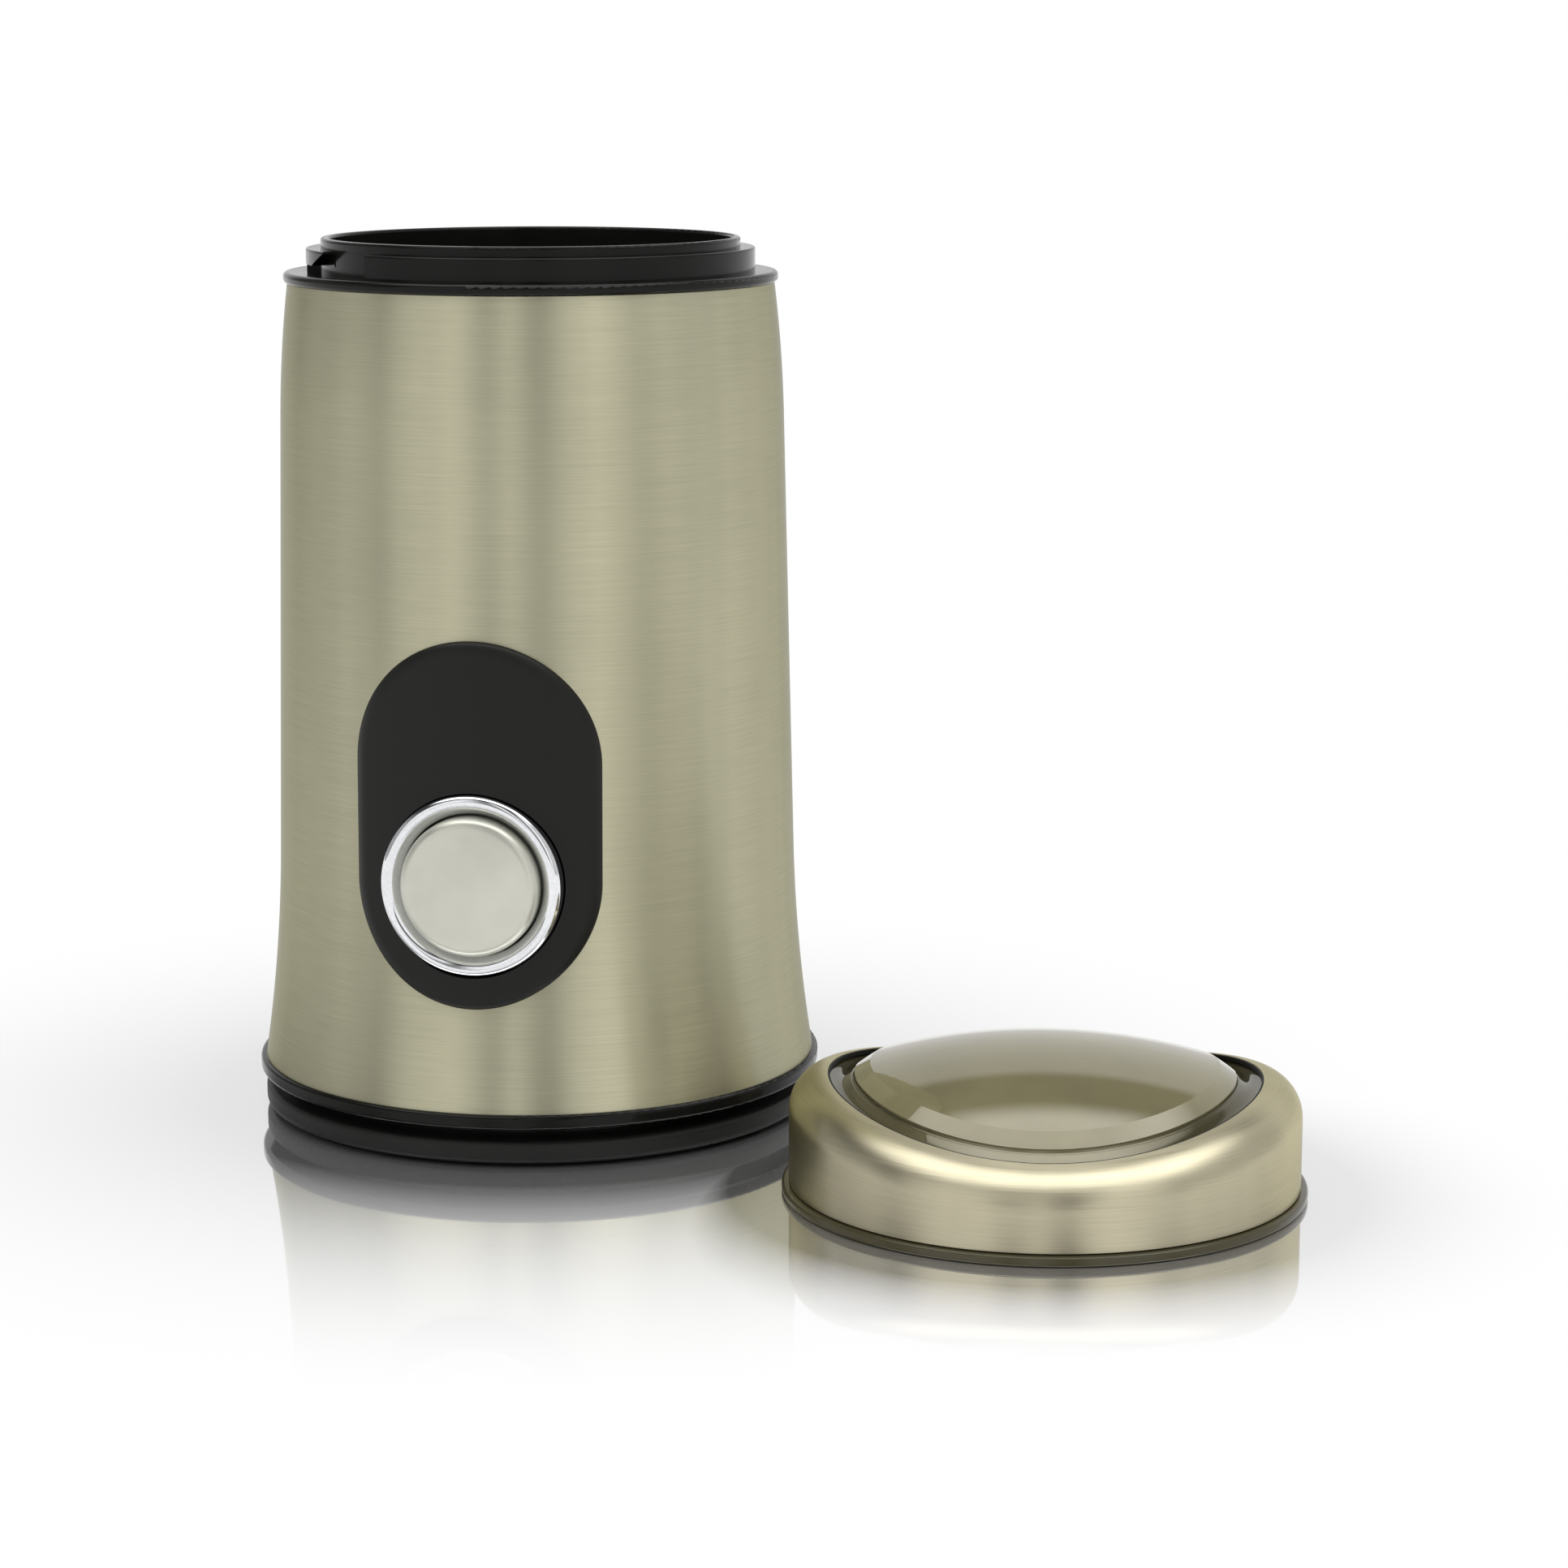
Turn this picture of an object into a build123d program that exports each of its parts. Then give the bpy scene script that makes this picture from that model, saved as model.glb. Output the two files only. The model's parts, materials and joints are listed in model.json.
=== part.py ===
from build123d import *
import os
from math import cos, hypot, radians, sin, sqrt, tan

# Blade coffee grinder, in millimetres. The origin is on the table under the body's axis, +Z is up
# and the push button faces -Y. The lid lies on the table beside the body.

# Clearances
OVERCUT = 1.0  # how far a cutting tool runs past the face that it cuts
FIXED_GAP = 0.03  # radial gap between a shaft and what is fixed on it
RUN_GAP = 0.05  # radial gap between a shaft and the bush that it turns in
SEAT_GAP = 0.2  # gap round a piece set into a recess
MOVE_GAP = 0.3  # gap round a piece that slides or turns near another
PUSH_GAP = 0.1  # gap between a pushing end and the plunger in front of it

# Body, as seen from outside
FOOT_PROUD = 0.6
PLATE_HEIGHT = 3.9
GROOVE_HEIGHT = 2.3
LIP_HEIGHT = 2.5
SLEEVE_HEIGHT = 135.6
FLARE_HEIGHT = 36.7
SHOULDER_HEIGHT = 22.9
SLEEVE_FLARE = 3.3  # how far the foot stands out past the waist
SLEEVE_TAPER = 1.7  # how far the waist stands out past the shoulder
SLEEVE_DRAW = 1.65  # how far the shoulder stands out past the top
SLEEVE_WALL = 0.6
LIP_OVERHANG = 1.0
LIP_ROUND = 0.7
PLATE_INSET = 0.9
PLATE_TOP_ROUND = 1.0
PLATE_LOW_ROUND = 1.3

# Collar and its bayonet, angles counted from +X
FLANGE_HEIGHT = 1.95
TIER_HEIGHT = 4.0
RIM_RISE = 1.75
FLANGE_OVERHANG = 0.65
FLANGE_ROUND = 0.8
TIER_INSET = 1.95
TIER_ROUND = 0.35
RIM_WALL = 1.5
RIM_ROUND = 0.5
SPIGOT_HEIGHT = 3.0
BAYONET_COUNT = 2
SLOT_END = 191.5
LUG_END = 219.0
RECESS_END = 238.5
SLOT_HEIGHT = 1.4
LEAD_ANGLE = 9.0
LEAD_RISE = 2.2
RECESS_FLOOR = 0.2  # how far the recess stops short of the rim's wall

# Foot of the body
GROOVE_DEPTH = 5.0
GROOVE_WALL = 3.0
BASE_FLOOR = 2.0
FLOOR_EDGE = 0.1  # floor left between a foot boss and the floor's bore
UPSTAND_INSET = 1.2
UPSTAND_WALL = 1.6
UPSTAND_HEIGHT = 2.0
PLATE_WEB = 2.0
PAD_INSET = 9.1
PAD_WIDTH = 5.0
PAD_DEPTH = 1.6
PAD_ROUND = 0.3
PAD_RIB = 1.0
VENT_COUNT = 10
VENT_WIDTH = 2.4
VENT_LENGTH = 11.0
VENT_INSET = 7.5
FOOT_SCREW_INSET = 4.0
FOOT_SCREW_ANGLE = 60.0
FOOT_BOSS_R = 3.4
SCREW_COUNT = 3
SCREW_R = 1.45
SCREW_HOLE_GAP = 0.25
SCREW_HEAD_R = 2.9
SCREW_HEAD_HEIGHT = 1.5
SCREW_SLOT = 0.6
GLAND_RISE = 0.7
GLAND_R = 3.7
GLAND_BORE = 2.7
GLAND_FLANGE = 0.5
GLAND_FLANGE_LENGTH = 1.0
GLAND_LENGTH = 10.0
CORD_ANGLE = 25.0  # slope of the cord's way up from the gland

# Inner housing
MOTOR_SPACE = 4.8  # room between the stator's corners and the housing
HOUSING_GAP = 0.75
HOUSING_WALL = 2.0
BOWL_SEAT_HEIGHT = 5.0
DECK_THICK = 3.0
DECK_TO_BOWL = 2.0
HOUSING_BOSS_R = 3.4
HOUSING_BOSS_INSET = 3.0
HOUSING_BOSS_HEIGHT = 12.0
HOUSING_SCREW_ANGLE = 30.0
HOUSING_SCREW_GRIP = 9.0

# Grinding bowl
BOWL_WALL = 0.8
BOWL_LAND = 2.5
BOWL_CORNER = 9.0
BOWL_LIP = 1.5
BOWL_LIP_ROUND = 0.3
GASKET_THICK = 0.8
GASKET_INSET = 0.4
SEAL_R = 6.0
SEAL_FLANGE = 2.5
SEAL_FLANGE_HEIGHT = 1.2
SEAL_LIP_R = 4.4
SEAL_HEIGHT = 2.4
SEAL_BELOW = 0.9

# Shaft, blade and its fixings
SHAFT_R = 3.0
SHAFT_TAIL = 0.6
HUB_R = 7.0
HUB_HEIGHT = 6.5
HUB_ROUND = 0.8
HUB_ABOVE_SEAL = 0.6
BLADE_TIP_GAP = 4.8
BLADE_ROOT_WIDTH = 10.0
BLADE_TIP_WIDTH = 6.6
BLADE_THICK = 1.2
BLADE_FLAT = 8.0
BLADE_TIP_ROUND = 2.0
BLADE_BEVEL = 2.2
WING_RISE = 15.0
WING_FALL = 9.0
NUT_SIDES = 6
NUT_ACROSS = 11.0
NUT_HEIGHT = 4.0
NUT_DOME = 2.6
SHAFT_IN_NUT = 4.6

# Motor, with its poles along X and its long screws along Y
STATOR_CORNER = 8.0
YOKE_WALL = 6.0
POLE_WIDTH = 18.0
SHOE_THICK = 3.8
SHOE_OPENING = 20.0
SHOE_CLEAR = 0.4
STACK_HEIGHT = 26.0
AIR_GAP = 0.6
ARMATURE_R = 15.0
ARMATURE_SLOTS = 12
ARMATURE_SLOT_WIDTH = 1.6
ARMATURE_SLOT_DEPTH = 5.0
WINDING_INSET = 2.0
WINDING_HEIGHT = 6.0
WINDING_ROUND = 2.0
COIL_SPACE = 3.6
COIL_BUILD = 5.0
COIL_CORNER = 2.0
COMMUTATOR_R = 10.0
COMMUTATOR_HEIGHT = 8.0
COMMUTATOR_SLOT = 0.5
COMMUTATOR_SLOT_DEPTH = 0.9
COMMUTATOR_GAP = 1.0
BRUSH_WIDTH = 5.0
BRUSH_HEIGHT = 6.0
BRUSH_LENGTH = 10.0
BRUSH_GAP = 0.15
HOLDER_WALL = 1.4
HOLDER_START = 1.5
HOLDER_LENGTH = 18.5
BRUSH_SPRING_WIRE = 0.3
BRUSH_SPRING_TURNS = 6
BEARING_R = 6.0
BEARING_HEIGHT = 8.0
CUP_WALL = 2.2
CUP_FLOOR = 0.8
BRACKET_THICK = 3.0
BRACKET_WIDTH = 22.0
LOWER_BRACKET_MARGIN = 4.0
LOWER_BRACKET_WINDOW = 4.0
LOWER_BRACKET_WINDOWS = 4
POST_R = 3.6
MOTOR_SCREW_R = 1.9
MOTOR_SCREW_HEAD_R = 3.4
MOTOR_SCREW_HEAD_HEIGHT = 2.2
MOUNT_R = 6.0
MOUNT_HEIGHT = 3.3
FAN_INSET = 3.0
FAN_CLEAR = 4.8  # room under the fan
FAN_HUB_R = 5.0
FAN_DISC = 1.4
FAN_HEIGHT = 6.0
FAN_BLADES = 9
FAN_BLADE_THICK = 1.2
FAN_BELOW_BRACKET = 1.5

# Control panel, button and switch on one level
BUTTON_RISE = 38.5
PANEL_WIDTH = 42.0
PANEL_HEIGHT = 61.8
PANEL_PROUD = 1.4
PANEL_ROUND = 1.2
PANEL_LIP = 2.0
PANEL_LIP_THICK = 1.6
BEZEL_LAND = 1.9
BEZEL_CONE = 1.4
BEZEL_PROUD = 0.8
BEZEL_ROUND = 1.1
BEZEL_DEPTH = 5.9
BEZEL_CONE_DEPTH = 1.8
CAP_R = 11.8
CAP_PROUD = 1.5
CAP_ROUND = 1.7
CAP_HEIGHT = 6.1
CAP_WALL = 2.0
BUTTON_TRAVEL = 2.5
STEM_R = 2.6
STEM_TAIL = 1.2
CLIP_R = 4.5
CLIP_THICK = 0.8
CARRIER_WIDTH = 21.0
CARRIER_HEIGHT = 26.0
CARRIER_THICK = 1.8
CARRIER_ARM = 2.0
BUTTON_SPRING_R = 6.5
BUTTON_SPRING_WIRE = 0.45
BUTTON_SPRING_TURNS = 5
SWITCH_WIDTH = 12.6
SWITCH_HEIGHT = 11.0
SWITCH_DEPTH = 7.4
SWITCH_PLUNGER_R = 1.6
SWITCH_PLUNGER_TAIL = 3.0
SWITCH_REST = 0.4  # how far a plunger still stands out when fully pressed
TAB_WIDTH = 4.0
TAB_THICK = 0.8
TAB_LENGTH = 4.0

# Lid interlock: a push rod from the bayonet slot down to its switch
INTERLOCK_ANGLE = 20.0
INTERLOCK_TRAVEL = 1.1
INTERLOCK_INSET = 1.05
ROD_R = 1.1
ROD_COLLAR_R = 1.9
ROD_COLLAR_HEIGHT = 1.2
ROD_SPRING_R = 1.65
ROD_SPRING_WIRE = 0.2
ROD_SPRING_LENGTH = 9.0
ROD_SPRING_TURNS = 7
ROD_BELOW_DECK = 4.0
ROD_FOOT_LENGTH = 4.0
ROD_FOOT_WIDTH = 3.0
ROD_FOOT_HEIGHT = 1.6
INTERLOCK_WIDTH = 12.0
INTERLOCK_DEPTH = 5.0
INTERLOCK_HEIGHT = 8.0
INTERLOCK_PLUNGER_R = 1.0
INTERLOCK_PLUNGER_TAIL = 3.0
INTERLOCK_PLUNGER_PROUD = 1.6

# Electrical pieces on the base floor
TERMINAL_LENGTH = 18.0
TERMINAL_WIDTH = 8.4
TERMINAL_HEIGHT = 9.6
TERMINAL_POLES = 3
TERMINAL_SCREW_R = 1.6
TERMINAL_SCREW_DEPTH = 4.0
SUPPRESSOR_LENGTH = 17.0
SUPPRESSOR_WIDTH = 8.0
SUPPRESSOR_HEIGHT = 14.0
SUPPRESSOR_ROUND = 1.0
WALL_SPACE = 1.2  # room left between these pieces and the housing's wall

# Lid, in its own frame with the saddle's high sides along X
LID_AWAY = 12.3  # how far the lid lies from the body
LID_PLACE_ANGLE = -24.3
LID_ANGLE = 6.4
LID_FLANGE_OVERHANG = 1.15
LID_FLANGE_HEIGHT = 1.7
LID_FLANGE_ROUND = 0.6
BAND_OVERHANG = 0.05
BAND_WALL = 0.6
BAND_CREST = 19.6
BAND_ROUND = 6.2
BAND_LAND = 0.2
SADDLE_R = 127.0
COVER_GAP = 0.2
COVER_WALL = 1.9
DOME_INSET = 4.4
DOME_RISE = 5.8
DOME_STEP = 1.6  # height of the dome's upright edge at the front
DOME_STEP_MORE = 0.2  # how much taller that edge is at the sides
DOME_COVE = 0.6
DOME_BEVEL_DROP = 0.9  # what the bevel takes off the dome's upright edge
DOME_BEVEL_WIDTH = 2.7  # what the bevel takes off the dome's crown
LID_TAB_ANGLE = 15.0
LID_TAB_THICK = 1.1
LID_TAB_LIFT = 0.1
LID_TAB_CENTRE = 200.0

# Heights of the shell, from the table up
PLATE_LOW = FOOT_PROUD
PLATE_TOP = PLATE_LOW + PLATE_HEIGHT
LIP_LOW = PLATE_TOP + GROOVE_HEIGHT
SLEEVE_LOW = LIP_LOW + LIP_HEIGHT
SLEEVE_TOP = SLEEVE_LOW + SLEEVE_HEIGHT
WAIST_Z = SLEEVE_LOW + FLARE_HEIGHT
SHOULDER_Z = SLEEVE_TOP - SHOULDER_HEIGHT
FLANGE_TOP = SLEEVE_TOP + FLANGE_HEIGHT
TIER_TOP = FLANGE_TOP + TIER_HEIGHT
RIM_TOP = TIER_TOP + RIM_RISE
FLOOR_TOP = SLEEVE_LOW + BASE_FLOOR
PAD_TOP = PLATE_LOW + PAD_DEPTH
GLAND_Z = PLATE_TOP + GLAND_RISE
BUTTON_Z = SLEEVE_LOW + BUTTON_RISE
HOUSING_TOP = SLEEVE_TOP - SPIGOT_HEIGHT
BOWL_LIP_TOP = HOUSING_TOP - GASKET_THICK

# Heights inside, from the base floor up to the bowl, whose depth is what is left
FAN_LOW = FLOOR_TOP + FAN_CLEAR
FAN_TOP = FAN_LOW + FAN_HEIGHT
SHAFT_LOW = FAN_LOW - SHAFT_TAIL
LOWER_CUP_LOW = FAN_TOP + FAN_BELOW_BRACKET
LOWER_CUP_TOP = LOWER_CUP_LOW + CUP_FLOOR + BEARING_HEIGHT
LOWER_BRACKET_TOP = LOWER_CUP_TOP - CUP_WALL
LOWER_BRACKET_LOW = LOWER_BRACKET_TOP - BRACKET_THICK
COMMUTATOR_LOW = LOWER_CUP_TOP + COMMUTATOR_GAP
COMMUTATOR_TOP = COMMUTATOR_LOW + COMMUTATOR_HEIGHT
BRUSH_Z = (COMMUTATOR_LOW + COMMUTATOR_TOP) / 2
LOWER_WINDING_LOW = COMMUTATOR_TOP + COMMUTATOR_GAP
STACK_LOW = LOWER_WINDING_LOW + WINDING_HEIGHT + AIR_GAP
STACK_TOP = STACK_LOW + STACK_HEIGHT
UPPER_WINDING_LOW = STACK_TOP + AIR_GAP
UPPER_CUP_LOW = UPPER_WINDING_LOW + WINDING_HEIGHT + AIR_GAP
UPPER_BRACKET_LOW = UPPER_CUP_LOW + CUP_FLOOR
UPPER_BRACKET_TOP = UPPER_BRACKET_LOW + BRACKET_THICK
DECK_LOW = UPPER_BRACKET_TOP + MOUNT_HEIGHT
DECK_TOP = DECK_LOW + DECK_THICK
BOWL_UNDER = DECK_TOP + DECK_TO_BOWL
BOWL_FLOOR = BOWL_UNDER + BOWL_WALL
SEAL_TOP = BOWL_FLOOR + SEAL_HEIGHT
HUB_LOW = SEAL_TOP + HUB_ABOVE_SEAL
HUB_TOP = HUB_LOW + HUB_HEIGHT
BLADE_TOP = HUB_TOP + BLADE_THICK
SHAFT_TOP = BLADE_TOP + SHAFT_IN_NUT

# Motor, from the armature outwards
WINDING_R = ARMATURE_R - WINDING_INSET
STATOR_BORE = ARMATURE_R + AIR_GAP
SHOE_R = STATOR_BORE + SHOE_THICK
YOKE_X = SHOE_R + COIL_SPACE
YOKE_Y = sqrt(SHOE_R**2 - (SHOE_OPENING / 2) ** 2) + SHOE_CLEAR
STATOR_LENGTH = 2 * (YOKE_X + YOKE_WALL)
STATOR_WIDTH = 2 * (YOKE_Y + YOKE_WALL)
STATOR_CORNER_R = hypot(STATOR_LENGTH / 2 - STATOR_CORNER, STATOR_WIDTH / 2 - STATOR_CORNER) + STATOR_CORNER
POST_Y = YOKE_Y + YOKE_WALL / 2
LOWER_BRACKET_R = STATOR_WIDTH / 2 + LOWER_BRACKET_MARGIN
CUP_R = BEARING_R + CUP_WALL

# Shell, from the motor outwards
HOUSING_BORE = STATOR_CORNER_R + MOTOR_SPACE
HOUSING_R = HOUSING_BORE + HOUSING_WALL
SLEEVE_TOP_R = HOUSING_R + HOUSING_GAP + SLEEVE_WALL
SHOULDER_R = SLEEVE_TOP_R + SLEEVE_DRAW
WAIST_R = SHOULDER_R + SLEEVE_TAPER
SLEEVE_FOOT_R = WAIST_R + SLEEVE_FLARE
LIP_R = SLEEVE_FOOT_R + LIP_OVERHANG
GROOVE_R = LIP_R - GROOVE_DEPTH
UPSTAND_R = SLEEVE_FOOT_R - SLEEVE_WALL - UPSTAND_INSET
FLANGE_R = SLEEVE_TOP_R + FLANGE_OVERHANG
TIER_R = HOUSING_R - TIER_INSET
INTERLOCK_CIRCLE_R = TIER_R - INTERLOCK_INSET
HOUSING_SCREW_CIRCLE_R = HOUSING_BORE - HOUSING_BOSS_INSET

# Bowl and rim, from the housing inwards
BOWL_LIP_R = HOUSING_BORE - BOWL_LAND
BOWL_OUT = BOWL_LIP_R - BOWL_LIP
BOWL_R = BOWL_OUT - BOWL_WALL
BLADE_REACH = BOWL_R - BLADE_TIP_GAP
RIM_R = BOWL_LIP_R
RIM_BORE = RIM_R - RIM_WALL

# Foot, from its edge inwards
PLATE_R = LIP_R - PLATE_INSET
PAD_R = PLATE_R - PAD_INSET
PAD_BORE = PAD_R - PAD_WIDTH
FOOT_SCREW_CIRCLE_R = PAD_BORE - PAD_RIB - FOOT_SCREW_INSET
BASE_FLOOR_BORE = FOOT_SCREW_CIRCLE_R - FOOT_BOSS_R - FLOOR_EDGE
VENT_CIRCLE_R = BASE_FLOOR_BORE - VENT_INSET
FAN_R = BASE_FLOOR_BORE - FAN_INSET

# Panel, button and switch, from the button outwards and from the front to the back
BEZEL_BORE = CAP_R + MOVE_GAP
BEZEL_MOUTH = BEZEL_BORE + BEZEL_CONE
BEZEL_R = BEZEL_MOUTH + BEZEL_LAND
PANEL_Z = BUTTON_Z + (PANEL_HEIGHT - PANEL_WIDTH) / 2
PANEL_BACK_R = HOUSING_R + MOVE_GAP
PANEL_FACE = WAIST_R + PANEL_PROUD
BEZEL_FRONT = -(PANEL_FACE + BEZEL_PROUD)
BEZEL_BACK = BEZEL_FRONT + BEZEL_DEPTH
CAP_FRONT = BEZEL_FRONT - CAP_PROUD
CAP_INSIDE = CAP_FRONT + CAP_WALL
CAP_BACK = CAP_FRONT + CAP_HEIGHT
CARRIER_FRONT = -sqrt(HOUSING_R**2 - (CARRIER_WIDTH / 2) ** 2) + SEAT_GAP
CARRIER_BACK = CARRIER_FRONT + CARRIER_THICK
CLIP_FRONT = CARRIER_BACK + PUSH_GAP
STEM_END = CLIP_FRONT + CLIP_THICK + STEM_TAIL
PLUNGER_FRONT = STEM_END + PUSH_GAP
SWITCH_FRONT = PLUNGER_FRONT + BUTTON_TRAVEL + SWITCH_REST
SWITCH_BACK = SWITCH_FRONT + SWITCH_DEPTH

# Lid, from the collar that it closes
BAND_R = SLEEVE_TOP_R + BAND_OVERHANG
LID_FLANGE_R = BAND_R + LID_FLANGE_OVERHANG
LID_DISTANCE = LIP_R + LID_AWAY + LID_FLANGE_R
COVER_STEP = BAND_WALL + COVER_GAP
COVER_SKIRT_R = BAND_R - COVER_STEP
COVER_BORE = COVER_SKIRT_R - COVER_WALL
COVER_CREST = BAND_CREST - COVER_STEP
COVER_SADDLE_R = SADDLE_R - COVER_STEP
BAND_OPENING_R = BAND_R - BAND_ROUND - BAND_LAND
DOME_R = BAND_OPENING_R - DOME_INSET
DOME_TOP = BAND_CREST + DOME_RISE
DOME_SIDE_Z = COVER_CREST + DOME_STEP + DOME_STEP_MORE
DOME_FRONT_Z = COVER_CREST - COVER_SADDLE_R + sqrt(COVER_SADDLE_R**2 - DOME_R**2) + DOME_STEP

BOTTOM = (Align.CENTER, Align.CENTER, Align.MIN)


# Shared shapes
def disc(radius, z_low, z_high, x=0.0, y=0.0):
    """An upright round solid."""
    return Pos(x, y, z_low) * Cylinder(radius, z_high - z_low, align=BOTTOM)


def ring(outer, inner, z_low, z_high, x=0.0, y=0.0):
    """An upright tube."""
    return disc(outer, z_low, z_high, x, y) - disc(inner, z_low - OVERCUT, z_high + OVERCUT, x, y)


def rod_x(radius, x_low, x_high, y=0.0, z=0.0):
    """A round solid along X."""
    return Pos(x_low, y, z) * Rot(0, 90, 0) * Cylinder(radius, x_high - x_low, align=BOTTOM)


def rod_y(radius, y_low, y_high, x=0.0, z=0.0):
    """A round solid along Y."""
    return Pos(x, y_high, z) * Rot(90, 0, 0) * Cylinder(radius, y_high - y_low, align=BOTTOM)


def block(x_low, x_high, y_low, y_high, z_low, z_high):
    """A box between two corners."""
    middle = Pos((x_low + x_high) / 2, (y_low + y_high) / 2, (z_low + z_high) / 2)
    return middle * Box(x_high - x_low, y_high - y_low, z_high - z_low)


def profile(*corners):
    """A face from corners (across, up) or (across, up, rounding)."""
    points = [corner[:2] for corner in corners]
    rounds = [corner[2] if len(corner) > 2 else 0 for corner in corners]
    if any(rounds):
        return make_face(FilletPolyline(*points, radius=rounds, close=True))
    return make_face(Polyline(*points, close=True))


def turned(*corners):
    """A solid of revolution about the body's axis from corners (radius, height, rounding)."""
    return revolve(Plane.XZ * profile(*corners), Axis.Z)


def sector(outer, inner, z_low, z_high, start, end):
    """A piece of an upright tube between two angles."""
    section = profile((inner, z_low), (outer, z_low), (outer, z_high), (inner, z_high))
    return Rot(0, 0, start) * revolve(Plane.XZ * section, Axis.Z, end - start)


def around(count, radius, turn=0.0):
    """Places spread evenly on a circle, as (x, y)."""
    angles = [radians(turn + 360.0 * i / count) for i in range(count)]
    return [(radius * cos(a), radius * sin(a)) for a in angles]


def spring(mean_r, wire_r, length, turns):
    """A helical wire that stands on z = 0 and is as tall as its length."""
    rise = length - 2 * wire_r
    path = Helix(rise / turns, rise, mean_r)
    section = Plane(path @ 0, z_dir=path % 0) * Circle(wire_r)
    return Pos(0, 0, wire_r) * sweep(section, path=path, is_frenet=True)


def joined(solids):
    """Separate solids kept in one node."""
    return Compound(children=[s for shape in solids for s in shape.solids()])


def sleeve_form(offset):
    """The sleeve's outer form grown by offset: a flared foot, a straight taper and a drawn-in top."""
    foot = (SLEEVE_FOOT_R + offset, SLEEVE_LOW)
    waist = (WAIST_R + offset, WAIST_Z)
    shoulder = (SHOULDER_R + offset, SHOULDER_Z)
    top = (SLEEVE_TOP_R + offset, SLEEVE_TOP)
    taper = (shoulder[0] - waist[0], shoulder[1] - waist[1])
    edges = [
        TangentArc(waist, foot, tangent=(-taper[0], -taper[1])),
        Line(waist, shoulder),
        TangentArc(shoulder, top, tangent=taper),
        Line(top, (0, SLEEVE_TOP)),
        Line((0, SLEEVE_TOP), (0, SLEEVE_LOW)),
        Line((0, SLEEVE_LOW), foot),
    ]
    return revolve(Plane.XZ * make_face(edges), Axis.Z)


def panel_prism(grow, y_low, y_high):
    """A stadium-shaped bar along Y, grown all round."""
    outline = SlotOverall(PANEL_HEIGHT + 2 * grow, PANEL_WIDTH + 2 * grow, rotation=90)
    return extrude(Plane((0, y_high, PANEL_Z), (1, 0, 0), (0, -1, 0)) * outline, y_high - y_low)


def screw(radius, head_r, head_height, z_head_low, z_tip, x, y):
    """An upright screw with its slotted head below."""
    head_top = z_head_low + head_height
    body = disc(head_r, z_head_low, head_top, x, y) + disc(radius, head_top, z_tip, x, y)
    slot = block(-head_r - OVERCUT, head_r + OVERCUT, -SCREW_SLOT / 2, SCREW_SLOT / 2,
                 z_head_low - OVERCUT, z_head_low + head_height / 2)
    return body - Pos(x, y, 0) * slot


# Body shell
def steel_sleeve():
    """Drawn steel skin with the window for the panel."""
    window = panel_prism(SEAT_GAP, -SLEEVE_FOOT_R - PANEL_PROUD, 0)
    return sleeve_form(0) - sleeve_form(-SLEEVE_WALL) - window


def gland_hole():
    """Way for the gland and, further in, for the cord alone as it rises through the base floor."""
    inner_end = LIP_R - GLAND_LENGTH
    hole = rod_y(GLAND_R + SEAT_GAP, inner_end, LIP_R + OVERCUT, 0, GLAND_Z)
    run = (inner_end - BASE_FLOOR_BORE) / cos(radians(CORD_ANGLE)) + 2 * GLAND_BORE
    way = Rot(90 - CORD_ANGLE, 0, 0) * disc(GLAND_BORE, -GLAND_BORE / 2, run)
    return hole + Pos(0, inner_end, GLAND_Z) * way


def base_ring():
    """Ring that carries the sleeve on its lip and the housing on its floor."""
    wall_r = GROOVE_R - GROOVE_WALL
    upstand_top = FLOOR_TOP + UPSTAND_HEIGHT
    body = turned(
        (BASE_FLOOR_BORE, SLEEVE_LOW),
        (wall_r, SLEEVE_LOW),
        (wall_r, PLATE_TOP),
        (GROOVE_R, PLATE_TOP),
        (GROOVE_R, LIP_LOW),
        (LIP_R, LIP_LOW, LIP_ROUND),
        (LIP_R, SLEEVE_LOW, LIP_ROUND),
        (UPSTAND_R, SLEEVE_LOW),
        (UPSTAND_R, upstand_top),
        (UPSTAND_R - UPSTAND_WALL, upstand_top),
        (UPSTAND_R - UPSTAND_WALL, FLOOR_TOP),
        (BASE_FLOOR_BORE, FLOOR_TOP),
    )
    for x, y in around(SCREW_COUNT, FOOT_SCREW_CIRCLE_R, FOOT_SCREW_ANGLE):
        body += disc(FOOT_BOSS_R, PLATE_TOP, FLOOR_TOP, x, y)
        body -= disc(SCREW_R + FIXED_GAP, PLATE_TOP - OVERCUT, FLOOR_TOP + OVERCUT, x, y)
    for x, y in around(SCREW_COUNT, HOUSING_SCREW_CIRCLE_R, HOUSING_SCREW_ANGLE):
        body -= disc(SCREW_R + SCREW_HOLE_GAP, SLEEVE_LOW - OVERCUT, FLOOR_TOP + OVERCUT, x, y)
    return body - gland_hole()


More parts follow.
